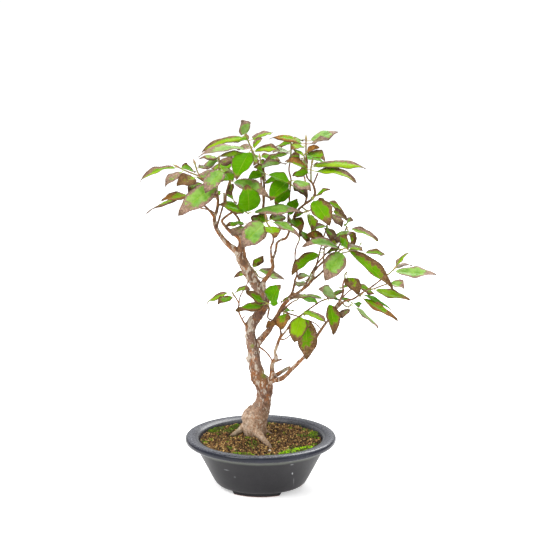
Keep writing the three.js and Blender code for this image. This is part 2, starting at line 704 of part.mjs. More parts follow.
    name: "shoot_right_mid",
    on: ["upper_right", 0.76],
    stem: [[45, 274, -5], [48, 273, -8]],
    leaves: [
      [[48, 272, -9], [51, 254, -22], 14, 0.5],
      [[44, 272, -7], [33, 265, -12], 11, 0.4],
      [[46, 271, -6], [51, 243, 10], 13, 0.5],
    ],
  },
  {
    name: "shoot_right_spur",
    on: ["upper_right", 0.64],
    stem: [[29, 263, -4], [28, 267, -6]],
    leaves: [
      [[29, 266, -6], [41, 253, -24], 15, 0.8],
      [[28, 267, -5], [36, 286, 4], 14, 0.75],
    ],
  },
  {
    name: "shoot_far_upper",
    on: ["far_upper", 1],
    stem: [[84, 253, 12], [86, 258, 13]],
    leaves: [
      [[88, 256, 13], [118, 243, 6], 14, 0.4, 0.04],
      [[84, 258, 14], [92, 264, -4], 10, 0.3],
      [[87, 254, 10], [76, 242, -14], 16, 0.6],
      [[87, 255, 16], [91, 237, 12], 14, 0.5],
    ],
  },
  {
    name: "shoot_far_inner",
    on: ["far_inner", 1],
    stem: [[69, 270, 16], [70, 274, 17]],
    leaves: [
      [[71, 273, 18], [87, 263, 32], 13, 0.5],
      [[70, 271, 14], [81, 257, 0], 12, 0.65],
      [[69, 274, 16], [58, 278, -2], 12, 0.4],
    ],
    bud: true,
  },
  {
    name: "shoot_far_brown",
    on: ["far_inner", 0.8],
    stem: [[67, 256, 4], [66, 258, -1]],
    leaves: [
      [[66, 257, -2], [70, 244, -20], 14, 0.7],
      [[66, 258, 0], [51, 254, -18], 13, 0.45],
    ],
  },
  {
    name: "shoot_right_front",
    on: ["first_right", 1],
    stem: [[80, 234, -15], [84, 236, -16]],
    leaves: [
      [[80, 235, -17], [41, 238, -36], 16, 0.5, 0.12],
      [[84, 237, -16], [85, 249, -38], 15, 0.7],
      [[82, 233, -18], [64, 204, -36], 21, 0.98],
      [[87, 234, -17], [134, 194, -32], 17, 0.68, 0.02],
      [[85, 236, -13], [101, 236, 10], 11, 0.3],
      [[80, 235, -13], [64, 230, 2], 12, 0.4],
      [[86, 235, -16], [102, 234, -26], 8, 0.35],
    ],
  },
  {
    name: "shoot_right_orange",
    on: ["first_right", 0.87],
    stem: [[63, 231, -9], [64, 240, -8]],
    leaves: [
      [[65, 241, -9], [46, 250, -18], 14, 0.75],
      [[59, 231, -12], [30, 210, -31], 16, 0.65],
    ],
  },
  {
    name: "shoot_right_low",
    on: ["first_right", 0.66],
    stem: [[50, 209, -14], [50, 211, -17]],
    leaves: [[[50, 209, -17], [37, 205, -32], 12, 0.5]],
  },
  {
    name: "shoot_far_right_up",
    on: ["far_upper", 0.6],
    stem: [[82, 231, 15], [93, 233, 20], [101, 231, 24]],
    leaves: [
      [[103, 231, 24], [127, 229, 34], 13, 0.4, 0.05],
      [[96, 233, 22], [98, 237, 44], 13, 0.4],
    ],
  },
  {
    name: "shoot_far_right",
    on: ["low_outer", 1],
    stem: [[129, 211, 2], [133, 215, 4]],
    leaves: [
      [[132, 213, 4], [176, 211, -6], 17, 0.55, -0.03],
      [[134, 217, 6], [148, 232, 16], 10, 0.4],
      [[134, 216, 7], [151, 219, 28], 11, 0.3],
    ],
    bud: true,
  },
  {
    name: "shoot_far_low",
    on: ["low_outer", 0.62],
    stem: [[112, 195, -12], [120, 198, -14], [126, 200, -14]],
    leaves: [
      [[112, 195, -15], [150, 185, -26], 15, 0.5, -0.02],
      [[128, 201, -14], [143, 196, -30], 14, 0.6],
    ],
  },
  {
    name: "shoot_low_pointed",
    on: ["low_outer", 0.45],
    stem: [[98, 188, -14], [100, 188, -20]],
    leaves: [
      [[100, 187, -22], [138, 164, -34], 15, 0.45, -0.01],
      [[101, 190, -21], [132, 174, -12], 12, 0.3, 0.02],
    ],
  },
  {
    name: "shoot_low_brown",
    on: ["low_branch", 1],
    stem: [[84, 210, -15], [86, 212, -17]],
    leaves: [[[86, 208, -18], [98, 190, -36], 15, 0.85]],
  },
  {
    name: "shoot_low_centre",
    on: ["second_fork", 1],
    stem: [[63, 184, -14], [69, 186, -14], [75, 187, -13]],
    leaves: [
      [[75, 188, -14], [58, 195, -28], 14, 0.8],
      [[63, 186, -15], [29, 186, -26], 13, 0.3],
      [[69, 186, -11], [78, 184, 10], 10, 0.35],
      [[68, 182, -16], [73, 149, -26], 16, 0.8],
      [[72, 187, -11], [83, 195, 8], 10, 0.45],
    ],
  },
  {
    name: "shoot_low_small",
    on: ["low_branch", 0.8],
    stem: [[86, 177, -3], [90, 179, 1]],
    leaves: [
      [[88, 181, 2], [80, 187, 14], 10, 0.5],
      [[92, 181, 2], [98, 177, -16], 10, 0.5],
      [[88, 176, -1], [81, 166, -18], 13, 0.6],
      [[93, 178, 3], [119, 156, 10], 12, 0.3, -0.01],
    ],
  },
  {
    name: "shoot_hanging",
    on: ["second_fork", 0.6],
    stem: [[43, 169, -20], [45, 171, -24]],
    leaves: [
      [[42, 173, -22], [65, 163, -36], 14, 0.45],
      [[41, 169, -22], [33, 142, -34], 18, 0.95],
      [[44, 167, -21], [46, 124, -28], 20, 0.95],
    ],
  },
  {
    name: "shoot_trunk_left",
    on: ["trunk_spur", 1],
    stem: [[-28, 190, -10], [-29, 192, -11]],
    leaves: [
      [[-31, 192, -11], [-55, 181, -6], 13, 0.35, 0.05],
      [[-28, 188, -13], [-43, 180, -30], 12, 0.6, 0],
      [[-27, 191, -10], [-11, 195, -24], 11, 0.4],
    ],
  },
  {
    name: "shoot_trunk_front",
    on: ["dark_stub", 0.3],
    stem: [[7, 180, -10], [6, 181, -18]],
    leaves: [
      [[5, 180, -20], [-26, 174, -28], 16, 0.5, 0],
      [[4, 182, -19], [-15, 193, -34], 14, 0.6, -0.05],
      [[9, 180, -20], [19, 199, -38], 18, 0.85],
    ],
  },
  {
    name: "shoot_second_tip",
    on: ["second_right", 1],
    stem: [[20, 160, -8], [22, 168, -12], [23, 173, -14]],
    leaves: [
      [[24, 172, -14], [20, 155, -30], 16, 0.8],
      [[21, 161, -11], [5, 157, -24], 12, 0.45],
      [[24, 172, -12], [32, 173, 4], 9, 0.3],
    ],
  },
  {
    name: "shoot_upright_low",
    on: ["thin_upright", 0.35],
    stem: [[40, 200, 15], [45, 201, 20]],
    leaves: [
      [[46, 200, 19], [33, 200, 25], 12, 0.4],
      [[47, 202, 21], [53, 206, 40], 12, 0.4],
    ],
  },
  {
    name: "shoot_upper_back",
    on: ["upper_right", 0.08],
    stem: [[-2, 207, 16], [-6, 213, 20]],
    leaves: [
      [[-8, 215, 21], [2, 229, 32], 13, 0.6],
      [[-4, 214, 22], [25, 205, 32], 15, 0.5, -0.03],
      [[-8, 212, 18], [-28, 206, 14], 8, 0.6],
    ],
  },
  {
    name: "shoot_back_left",
    on: ["left_back", 1],
    stem: [[-28, 312, 44], [-27, 318, 48]],
    leaves: [
      [[-28, 318, 48], [-50, 316, 62], 15, 0.4],
      [[-26, 319, 49], [-10, 322, 72], 15, 0.4],
      [[-29, 314, 46], [-38, 304, 66], 15, 0.5],
    ],
  },
  {
    name: "shoot_back_left_low",
    on: ["left_back", 0.5],
    stem: [[-37, 287, 28], [-37, 291, 32]],
    leaves: [
      [[-39, 291, 32], [-60, 286, 48], 15, 0.4],
      [[-36, 290, 34], [-26, 282, 56], 15, 0.4],
    ],
  },
  {
    name: "shoot_back_leader",
    on: ["leader_back", 1],
    stem: [[0, 320, 50], [-1, 326, 54]],
    leaves: [
      [[-2, 326, 55], [-22, 329, 74], 15, 0.4],
      [[0, 327, 56], [20, 324, 76], 15, 0.4],
      [[-1, 322, 53], [0, 312, 78], 15, 0.5],
    ],
    bud: true,
  },
  {
    name: "shoot_back_right",
    on: ["crown_right_back", 1],
    stem: [[41, 321, 48], [41, 326, 52]],
    leaves: [
      [[40, 326, 53], [24, 320, 74], 15, 0.4],
      [[43, 326, 53], [64, 322, 70], 15, 0.4],
      [[42, 323, 50], [44, 313, 74], 15, 0.4],
    ],
  },
  {
    name: "shoot_back_far",
    on: ["right_back", 1],
    stem: [[63, 280, 42], [65, 282, 47]],
    leaves: [
      [[65, 282, 48], [54, 272, 70], 15, 0.4],
      [[67, 282, 47], [84, 270, 60], 15, 0.4],
    ],
  },
  {
    name: "shoot_back_low",
    on: ["low_back", 1],
    stem: [[74, 238, 45], [76, 240, 50]],
    leaves: [
      [[76, 240, 51], [62, 235, 74], 15, 0.4],
      [[78, 240, 50], [98, 232, 66], 15, 0.4],
    ],
  },
  {
    name: "shoot_back_outer",
    on: ["low_far_back", 1],
    stem: [[91, 195, 33], [93, 198, 38]],
    leaves: [
      [[93, 198, 39], [80, 196, 60], 15, 0.4],
      [[95, 198, 38], [114, 190, 54], 15, 0.4],
    ],
  },
  {
    name: "shoot_back_inner",
    on: ["inner_back", 1],
    stem: [[36, 184, 35], [38, 186, 40]],
    leaves: [
      [[37, 186, 41], [20, 182, 58], 15, 0.4],
      [[40, 186, 41], [58, 180, 56], 15, 0.4],
    ],
  },
];

// How wide a blade is at a share of its length: a rounded base, widest before the middle, a drawn-out tip
const bladeWidth = (share) => 2.82 * share ** 0.6 * (1 - share) ** 0.85;

// The frame of a blade: its base, length, and the directions along it, out of its upper face and to its side
function bladeFrame([leafBase, leafTip, , show]) {
  const tip = spot(leafTip);
  const along = tip.clone().sub(spot(leafBase)).normalize();
  const base = spot(leafBase).addScaledVector(along, PETIOLE.length);
  const length = base.distanceTo(tip);
  const toEye = new THREE.Vector3(VIEW.side, -VIEW.away, VIEW.height).sub(base).normalize();
  const facing = toEye.addScaledVector(along, -toEye.dot(along)).normalize();
  const edge = along.clone().cross(facing);
  if (edge.z < 0) edge.negate();
  const up = facing.multiplyScalar(show).addScaledVector(edge, Math.sqrt(1 - show * show));
  return { base, length, along, up, side: along.clone().cross(up) };
}

// A closed blade with its petiole, from a root inside the stem: midrib and toothed, waved margins, folded
// along the midrib and arched from base to tip. The faces are split alike above and below, so that they stay
// the same distance apart.
function makeLeaf(root, leaf, random) {
  const { base, length, along, up, side } = bladeFrame(leaf);
  const [, , width, , arch = BLADE.arch] = leaf;
  const fold = degrees(BLADE.fold + 8 * (random() - 0.5));
  const phase = random() * 2 * Math.PI;
  const curl = 0.05 + 0.09 * random();
  const at = (share, out) => {
    const lift = 4 * arch * share * (1 - share) - curl * Math.max(0, share - 0.75) ** 2 * 6;
    const half = (width / 2) * Math.abs(out);
    const wave = BLADE.wave * width * out * Math.sin(9 * share + phase);
    return base
      .clone()
      .addScaledVector(along, length * share)
      .addScaledVector(side, Math.sign(out) * half * Math.cos(fold))
      .addScaledVector(up, length * lift + half * Math.sin(fold) + wave);
  };
  const points = [];
  const thickness = [];
  const add = (point, through = up, deep = BLADE.thickness) => {
    thickness.push(through.clone().multiplyScalar(deep / 2));
    return points.push(point) - 1;
  };
  const spans = length > BLADE.long ? 3 : 2;
  const middle = Array.from({ length: spans + 1 }, (_, k) => add(at(k / spans, 0)));
  const teeth = length > BLADE.long ? 5 : length > BLADE.short ? 4 : 3;
  const petiole = base.clone().sub(root).normalize();
  const flat = side.clone().addScaledVector(petiole, -side.dot(petiole)).normalize();
  const through = flat.clone().cross(petiole);
  const margin = (hand) => {
    const ids = [
      add(root.clone().addScaledVector(flat, hand * PETIOLE.rootHalfWidth), through, PETIOLE.rootThickness),
      add(base.clone().addScaledVector(side, hand * PETIOLE.halfWidth)),
    ];
    for (let k = 1; k <= teeth; k++) {
      const share = (k - 0.35) / (teeth + 0.3);
      const notch = 1 + (k % 2 ? 1 : -1) * BLADE.tooth;
      ids.push(add(at(share, hand * bladeWidth(share) * notch)));
    }
    return [...ids, middle[spans]];
  };
  const [right, left] = [margin(1), margin(-1)];
  const faces = [
    [left[0], right[0], middle[0]],
    [right[0], right[1], middle[0]],
    [left[0], middle[0], left[1]],
    ...strip(middle, right.slice(1), points, along, base),
    ...flipped(strip(middle, left.slice(1), points, along, base)),
  ];
  const count = points.length;
  const vertices = [];
  points.forEach((point, k) => vertices.push(...point.clone().add(thickness[k])));
  points.forEach((point, k) => vertices.push(...point.clone().sub(thickness[k])));
  const triangles = [];
  for (const [a, b, c] of faces) triangles.push(a, b, c, a + count, c + count, b + count);
  const rim = [...right, ...left.slice(0, -1).reverse()];
  rim.forEach((a, k) => {
    const b = rim[(k + 1) % rim.length];
    triangles.push(a, a + count, b + count, a, b + count, b);
  });
  return solid(vertices, triangles);
}

// Triangles between the midrib and one margin, which share their ends
function strip(middle, margin, points, along, base) {
  const share = (id) => points[id].clone().sub(base).dot(along);
  const faces = [];
  let [i, j] = [0, 0];
  while (i < middle.length - 1 || j < margin.length - 1) {
    const marginNext =
      j < margin.length - 1 && (i === middle.length - 1 || share(margin[j + 1]) < share(middle[i + 1]));
    const face = marginNext ? [middle[i], margin[j], margin[j + 1]] : [middle[i], margin[j], middle[i + 1]];
    if (new Set(face).size === 3) faces.push(face);
    if (marginNext) j++;
    else i++;
  }
  return faces;
}

const flipped = (faces) => faces.map(([a, b, c]) => [a, c, b]);

// Where a shoot's stem starts: on the wood that its first place looks back at, a hair clear of it
function stemFoot([branch, share], toward, wood) {
  const path = BRANCHES[branch];
  const centres = ringsAlong(path.map(spot), radiiOf(path), branchDensity(path)).map((ring) => ring.centre);
  const curve = new THREE.CatmullRomCurve3(path.map(spot), false, "centripetal");
  const target = share === 1 ? centres.at(-1) : nearestOn(centres, curve.getPoint(share));
  const inward = target.sub(toward).normalize();
  const [hit] = new THREE.Raycaster(toward, inward).intersectObject(wood);
  const slant = hit.face.normal.angleTo(inward.clone().negate());
  return hit.point.addScaledVector(inward, -(GAP + STEM.start * Math.sin(slant)) / Math.cos(slant));
}

// The place on a chain of straight spans that lies nearest to a point, a little short of each span's ends
function nearestOn(places, point) {
  const roots = places.slice(1).map((end, k) => {
    const span = new THREE.Line3(places[k], end);
    const share = THREE.MathUtils.clamp(span.closestPointToPointParameter(point, true), 0.12, 0.88);
    return span.at(share, new THREE.Vector3());
  });
  return roots.sort((a, b) => a.distanceTo(point) - b.distanceTo(point))[0];
}

function makeShoot({ on, stem, leaves, bud }, wood, seed) {
  const random = seeded(seed);
  const own = stem.map(spot);
  const places = [stemFoot(on, own[0], wood), ...own];
  const radii = places.map((_, k) => THREE.MathUtils.lerp(STEM.start, STEM.end, k / (places.length - 1)));
  const pieces = [tube(places, radii, STEM.sides)];
  if (bud) {
    const heading = places.at(-1).clone().sub(places.at(-2)).normalize();
    const budAt = [-1.5, 1.2, 3.4, 6].map((reach) => places.at(-1).clone().addScaledVector(heading, reach));
    pieces.push(tube(budAt, [0.4, STEM.bud, STEM.bud * 0.8, 0.12], STEM.sides));
  }
  for (const leaf of leaves) pieces.push(makeLeaf(nearestOn(places, spot(leaf[0])), leaf, random));
  return joined(pieces);
}

// The assembly

function paint(colour, roughness) {
  return new THREE.MeshStandardMaterial({ color: colour, roughness, metalness: 0, flatShading: true });
}

function named(name, piece, material) {
  const { vertProperties, triVerts } = piece.getMesh();
  const geometry = new THREE.BufferGeometry();
  geometry.setAttribute("position", new THREE.BufferAttribute(Float32Array.from(vertProperties), 3));
  geometry.setIndex(Array.from(triVerts));
  geometry.computeVertexNormals();
  const mesh = new THREE.Mesh(geometry, material);
  mesh.name = name;
  return mesh;
}

const bonsai = new THREE.Group();
const soil = makeSoil(makeRootBeds());
bonsai.add(named("pot", makePot(), paint(COLOURS.glaze, 0.35)));
bonsai.add(named("drainage_screen", makeScreen(), paint(COLOURS.screen, 0.6)));
bonsai.add(named("soil", soil, paint(COLOURS.soil, 0.95)));
MOSS.forEach((moss, k) => {
  const cushion = named(moss.name, makeMoss(moss, soil, 7 + k), paint(COLOURS.moss, 0.9));
  cushion.position.z = GAP;
  bonsai.add(cushion);
});
const wood = named("trunk_branches", makeTree(), paint(COLOURS.bark, 0.85));
bonsai.add(wood);
SHOOTS.forEach((shoot, k) => {
  bonsai.add(named(shoot.name, makeShoot(shoot, wood, 100 + k), paint(COLOURS.leaf, 0.55)));
});

// Centre the model's box on the origin, with the feet on Z = 0
const box = new THREE.Box3().setFromObject(bonsai);
const middle = box.getCenter(new THREE.Vector3());
bonsai.position.set(-middle.x, -middle.y, 0);
bonsai.updateMatrixWorld(true);

export default bonsai;
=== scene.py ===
# %% [markdown]
# A stewartia bonsai in a round glazed pot.
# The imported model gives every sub-part its true size and place. These cells dress it: a fine pot with its
# glaze, loose soil grains, moss, bark, and leaves with veins, toothed edges and brown, sun-scorched margins.

import math

import bpy
import numpy as np
from mathutils import Euler, Matrix, Vector, noise
from mathutils.bvhtree import BVHTree


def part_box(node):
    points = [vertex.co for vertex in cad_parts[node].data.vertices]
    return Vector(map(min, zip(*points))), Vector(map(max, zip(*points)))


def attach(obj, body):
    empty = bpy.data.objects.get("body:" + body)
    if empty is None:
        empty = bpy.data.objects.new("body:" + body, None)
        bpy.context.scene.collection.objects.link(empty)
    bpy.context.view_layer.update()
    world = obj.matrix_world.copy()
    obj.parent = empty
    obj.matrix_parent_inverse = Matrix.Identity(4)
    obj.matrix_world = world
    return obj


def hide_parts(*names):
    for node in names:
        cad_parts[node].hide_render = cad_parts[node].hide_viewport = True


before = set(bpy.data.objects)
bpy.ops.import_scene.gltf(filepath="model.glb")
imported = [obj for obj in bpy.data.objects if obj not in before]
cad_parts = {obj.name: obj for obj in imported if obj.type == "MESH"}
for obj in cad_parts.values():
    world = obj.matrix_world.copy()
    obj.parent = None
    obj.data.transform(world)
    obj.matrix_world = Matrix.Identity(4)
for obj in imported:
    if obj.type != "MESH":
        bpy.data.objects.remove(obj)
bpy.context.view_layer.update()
MM = 0.001
pot_low, pot_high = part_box("pot")
POT_AXIS = Vector(((pot_low.x + pot_high.x) / 2, (pot_low.y + pot_high.y) / 2, 0))

# %% [markdown]
# The photograph was taken from a little above the rim, from far enough away that the pot's rim looks like a
# flat ellipse. The eye stands 1.65 m in front of the pot's axis and 0.55 m above its foot, and looks down by
# 11 degrees. A camera there, with the same narrow angle of view, frames the tree as the photograph does.

# %% The camera at the photograph's place
EYE = Vector((5.8, -1650, 548))
LOOK_DOWN = math.radians(11.16)
VIEW_SCALE = 1720
VIEW_MIDDLE = (5.5, 217.5)
PHOTO_SIDE = 533
SENSOR = 36

bpy.ops.object.select_all(action="DESELECT")
bpy.ops.object.camera_add(location=EYE * MM + POT_AXIS, rotation=(math.pi / 2 - LOOK_DOWN, 0, 0))
camera = bpy.context.object
camera.name = "photo_camera"
camera.data.sensor_width = SENSOR
camera.data.lens = SENSOR * VIEW_SCALE / PHOTO_SIDE
camera.data.clip_end = 200
bpy.context.scene.camera = camera
print("lens", round(camera.data.lens, 1), "mm")

# %% [markdown]
# The tree stands in a plain pale studio: a very wide white floor that glows a little, as a lit paper sweep
# does, so that no horizon shows and the undersides of the leaves are bright. A large soft light stands in
# front to the left, one hangs above, a weaker one fills from the right, and one behind shines through the
# leaves. The sky fills the shadows.

# %% Floor, lights and sky
PAPER = {
    "Base Color": (0.92, 0.92, 0.92, 1), "Emission Color": (1, 1, 1, 1), "Emission Strength": 0.46,
    "Roughness": 0.9, "Specular IOR Level": 0.1,
}
FLOOR_SIZE, FLOOR_DROP = 160, 0.0002

bpy.ops.mesh.primitive_plane_add(size=FLOOR_SIZE, location=(0, 0, -FLOOR_DROP))
floor = bpy.context.object
floor.name = "studio_floor"
paper = bpy.data.materials.new("pale_floor")
paper.use_nodes = True
for name, value in PAPER.items():
    paper.node_tree.nodes["Principled BSDF"].inputs[name].default_value = value
floor.data.materials.append(paper)


def soft_light(name, place, size, power, aim=(0, 0, 0.2)):
    """An area light that looks at the tree."""
    place = Vector(place)
    turn = (Vector(aim) - place).to_track_quat("-Z", "Y").to_euler()
    bpy.ops.object.light_add(type="AREA", location=place, rotation=turn)
    lamp = bpy.context.object
    lamp.name = name
    lamp.data.size = size
    lamp.data.energy = power


soft_light("key_light", (-1.2, -1.3, 1.8), 1.1, 42)
soft_light("top_light", (0.1, -0.1, 2.0), 1.0, 20)
soft_light("fill_light", (1.6, -1.0, 1.0), 1.2, 9)
soft_light("back_light", (0.5, 1.3, 1.4), 1.0, 26)
sky = bpy.data.worlds.new("white_sky")
sky.use_nodes = True
sky.node_tree.nodes["Background"].inputs["Color"].default_value = (1, 1, 1, 1)
sky.node_tree.nodes["Background"].inputs["Strength"].default_value = 0.62
bpy.context.scene.world = sky
bpy.context.scene.view_settings.view_transform = "Standard"

# %% [markdown]
# Every finish here is built from procedural nodes. These helpers keep the recipes short: one makes an empty
# finish, one adds a node with its settings, and the others are small recipes for noise, ramps and arithmetic.
# Finishes read the piece's own object coordinates, which are metres in the shared frame.


# %% Helpers for finishes
class Finish:
    """A material and a short way to add nodes to it."""

    def __init__(self, name):
        self.material = bpy.data.materials.new(name)
        self.material.use_nodes = True
        self.tree = self.material.node_tree
        self.shader = self.tree.nodes["Principled BSDF"]
        self.output = self.tree.nodes["Material Output"]
        self.place = self.add("ShaderNodeTexCoord").outputs["Object"]

    def add(self, kind, **settings):
        """A new node with its settings."""
        made = self.tree.nodes.new(kind)
        for key, value in settings.items():
            setattr(made, key, value)
        return made

    def join(self, source, target):
        """Links an output to an input, or sets the input where the source is a plain value."""
        if isinstance(source, bpy.types.NodeSocket):
            self.tree.links.new(source, target)
        else:
            target.default_value = source

    def math(self, operation, first, second=0.0, third=None):
        made = self.add("ShaderNodeMath", operation=operation)
        self.join(first, made.inputs[0])
        self.join(second, made.inputs[1])
        if third is not None:
            self.join(third, made.inputs[2])
        return made.outputs[0]

    def times(self, first, second):
        return self.math("MULTIPLY", first, second)

    def plus(self, first, second):
        return self.math("ADD", first, second)

    def scaled(self, value, factor, offset):
        return self.math("MULTIPLY_ADD", value, factor, offset)

    def noise(self, scale, detail=4, rough=0.55, place=None, warp=0.0):
        """Cloudy noise from 0 to 1. A larger scale makes finer clouds."""
        made = self.add("ShaderNodeTexNoise")
        self.join(place or self.place, made.inputs["Vector"])
        made.inputs["Scale"].default_value = scale
        made.inputs["Detail"].default_value = detail
        made.inputs["Roughness"].default_value = rough
        made.inputs["Distortion"].default_value = warp
        return made.outputs["Fac"]

    def ramp(self, value, stops):
        """Colours or greys at places from 0 to 1."""
        made = self.add("ShaderNodeValToRGB")
        marks = made.color_ramp.elements
        while len(marks) < len(stops):
            marks.new(0.5)
        for mark, (position, colour) in zip(marks, stops):
            mark.position = position
            mark.color = (*colour, 1) if isinstance(colour, tuple) else (colour, colour, colour, 1)
        self.join(value, made.inputs["Fac"])
        return made.outputs["Color"]

    def mix(self, share, first, second):
        """The second colour over the first, by a share from 0 to 1."""
        made = self.add("ShaderNodeMix", data_type="RGBA", blend_type="MIX")
        for source, socket in ((share, 0), (first, 6), (second, 7)):
            colour = (*source, 1) if isinstance(source, tuple) else source
            self.join(colour, made.inputs[socket])
        return made.outputs[2]

    def span(self, value, low, high, to_low=0.0, to_high=1.0):
        """Maps a value from one span to another, and holds it there."""
        made = self.add("ShaderNodeMapRange")
        self.join(value, made.inputs["Value"])
        limits = (("From Min", low), ("From Max", high), ("To Min", to_low), ("To Max", to_high))
        for name, amount in limits:
            made.inputs[name].default_value = amount
        return made.outputs["Result"]

    def bump(self, height, strength, distance, before=None):
        """A normal that shows fine relief, on top of an earlier one where it is given."""
        made = self.add("ShaderNodeBump")
        made.inputs["Strength"].default_value = strength
        made.inputs["Distance"].default_value = distance
        self.join(height, made.inputs["Height"])
        if before:
            self.join(before, made.inputs["Normal"])
        return made.outputs["Normal"]

    def dress(self, colour=None, rough=None, normal=None, specular=0.5):
        """Puts the worked-out colour, roughness and normal on the shader."""
        for source, name in ((colour, "Base Color"), (rough, "Roughness"), (normal, "Normal")):
            if source is not None:
                self.join(source, self.shader.inputs[name])
        self.shader.inputs["Specular IOR Level"].default_value = specular
        return self.material


# %% [markdown]
# A finished piece has its place in its mesh, rides on the part's one body, and stands for the sub-parts of
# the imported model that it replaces. Its material is put on while it is made.


# %% Helpers for pieces
def start_fresh():
    """Leaves edit mode and selects nothing."""
    if bpy.context.object and bpy.context.object.mode != "OBJECT":
        bpy.ops.object.mode_set(mode="OBJECT")
    bpy.ops.object.select_all(action="DESELECT")


def pick(piece):
    """Selects one piece and makes it the active one."""
    start_fresh()
    piece.select_set(True)
    bpy.context.view_layer.objects.active = piece


def in_scene(name, data):
    """An object of this mesh or curve, in the scene and picked."""
    piece = bpy.data.objects.new(name, data)
    bpy.context.collection.objects.link(piece)
    pick(piece)
    return piece


def face_outwards(weld=None):
    """Turns the active piece's faces outwards, after its points nearer than the weld are merged."""
    bpy.ops.object.mode_set(mode="EDIT")
    bpy.ops.mesh.select_all(action="SELECT")
    if weld:
        bpy.ops.mesh.remove_doubles(threshold=weld)
    bpy.ops.mesh.normals_make_consistent(inside=False)
    bpy.ops.object.mode_set(mode="OBJECT")


def settle(piece):
    """Moves the object's place, turn and size into its mesh."""
    pick(piece)
    bpy.ops.object.transform_apply(location=True, rotation=True, scale=True)


def dressed(piece, finish):
    """Gives a piece one material in place of any that it has."""
    piece.data.materials.clear()
    piece.data.materials.append(finish)
    return piece


def merge(pieces, name):
    """Joins several objects into one."""
    pick(pieces[0])
    for piece in pieces:
        piece.select_set(True)
    bpy.ops.object.join()
    whole = bpy.context.object
    whole.name = name
    settle(whole)
    return whole


def harden(piece, kind, **settings):
    """Adds a modifier and applies it."""
    pick(piece)
    modifier = piece.modifiers.new(kind.lower(), kind)
    for key, value in settings.items():
        setattr(modifier, key, value)
    bpy.ops.object.modifier_apply(modifier=modifier.name)


def hand_over(piece, nodes, angle=None):
    """Shades the piece smooth, gives it its body, and hides the sub-parts that it stands for."""
    pick(piece)
    if angle is None:
        bpy.ops.object.shade_smooth()
    else:
        bpy.ops.object.shade_smooth_by_angle(angle=math.radians(angle))
    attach(piece, "root")
    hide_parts(*nodes)
    triangles = sum(len(face.vertices) - 2 for face in piece.data.polygons)
    print(piece.name, "stands for", ", ".join(nodes), "with", triangles, "triangles")


# %% [markdown]
# The pot is thrown stoneware: a flared wall under a thick rolled lip that slopes a little inward, a small
# bead where the lip meets the wall, and three low arc feet cut from a ring. A circle is extruded from one
# outline point to the next and scaled to that point's radius, as clay rises on a wheel, and the last ring is
# bridged to the first. Subdivision then rounds every edge as the glaze does.

# %% The pot's body
POT_SIDES = 96
POT_OUTLINE = [
    (8, 3.2), (8, 2.8), (36, 2.8), (42.6, 3.3), (45.2, 5), (47.6, 9), (55.6, 24.4), (63.9, 40), (65.3, 42.2),
    (66.8, 43.2), (67.2, 44.4), (69.6, 44.6), (72.6, 44.7), (74.6, 45.8), (75.3, 47.6), (75.2, 49.4),
    (74.2, 51), (72, 51.8), (67.6, 51.2), (63.6, 50.3), (61.9, 49.3), (61.4, 47.6), (61.7, 44.4),
    (58, 39.4), (49.6, 24), (42.5, 10.6), (40, 8.5), (36, 8.3), (9, 8.3), (8, 8.3), (8, 7.8),
]


def thrown_ring(outline, sides):
    """A closed ring-shaped body, extruded point by point round the pot's axis."""
    start_fresh()
    radius, height = outline[0]
    at = POT_AXIS + Vector((0, 0, height * MM))
    bpy.ops.mesh.primitive_circle_add(vertices=sides, radius=radius * MM, location=at, enter_editmode=True)
    axis = tuple(POT_AXIS)
    for (before, low), (after, high) in zip(outline, outline[1:]):
        bpy.ops.mesh.extrude_region_move(TRANSFORM_OT_translate={"value": (0, 0, (high - low) * MM)})
        share = after / before
        bpy.ops.transform.resize(value=(share, share, 1), center_override=axis)
    bpy.ops.object.mode_set(mode="OBJECT")
    body = bpy.context.object
    settle(body)
    last_from = len(body.data.vertices) - sides
    for vertex in body.data.vertices:
        vertex.select = vertex.index < sides or vertex.index >= last_from
    for edge in body.data.edges:
        edge.select = all(body.data.vertices[k].select for k in edge.vertices)
    bpy.ops.object.mode_set(mode="EDIT")
    bpy.ops.mesh.bridge_edge_loops()
    face_outwards()
    return body


pot_body = thrown_ring(POT_OUTLINE, POT_SIDES)
harden(pot_body, "SUBSURF", levels=1, render_levels=1)
print("pot body", len(pot_body.data.vertices), "vertices")

# %% The pot's three feet
FOOT_TURN = -96.5
FOOT_SPAN = 77
FOOT_INNER, FOOT_OUTER = 33, 41
FOOT_TALL, FOOT_TAPER, FOOT_BEVEL = 4.2, 0.12, 0.7
FOOT_STEPS = 22


def arc_foot(middle):
    """One foot: a small upright face, spun along its arc and bevelled."""
    start_fresh()
    turn = math.radians(middle - FOOT_SPAN / 2)
    out = Vector((math.cos(turn), math.sin(turn), 0))
    centre = POT_AXIS + out * (FOOT_INNER + FOOT_OUTER) / 2 * MM + Vector((0, 0, FOOT_TALL / 2 * MM))
    bpy.ops.mesh.primitive_plane_add(size=1, location=centre, rotation=(math.pi / 2, 0, turn))
    foot = bpy.context.object
    foot.scale = ((FOOT_OUTER - FOOT_INNER) * MM, FOOT_TALL * MM, 1)
    settle(foot)
    bpy.ops.object.mode_set(mode="EDIT")
    bpy.ops.mesh.select_all(action="SELECT")
    bpy.ops.mesh.spin(steps=FOOT_STEPS, angle=-math.radians(FOOT_SPAN), center=POT_AXIS, axis=(0, 0, 1))
    face_outwards(weld=1e-6)
    for vertex in foot.data.vertices:
        apart = vertex.co - POT_AXIS
        aside = (math.atan2(apart.y, apart.x) - math.radians(middle) + math.pi) % (2 * math.pi) - math.pi
        if vertex.co.z < 1 * MM:
            vertex.co = POT_AXIS + Matrix.Rotation(-FOOT_TAPER * aside, 3, "Z") @ apart
    sharp = math.radians(40)
    harden(foot, "BEVEL", width=FOOT_BEVEL * MM, segments=2, limit_method="ANGLE", angle_limit=sharp)
    return foot


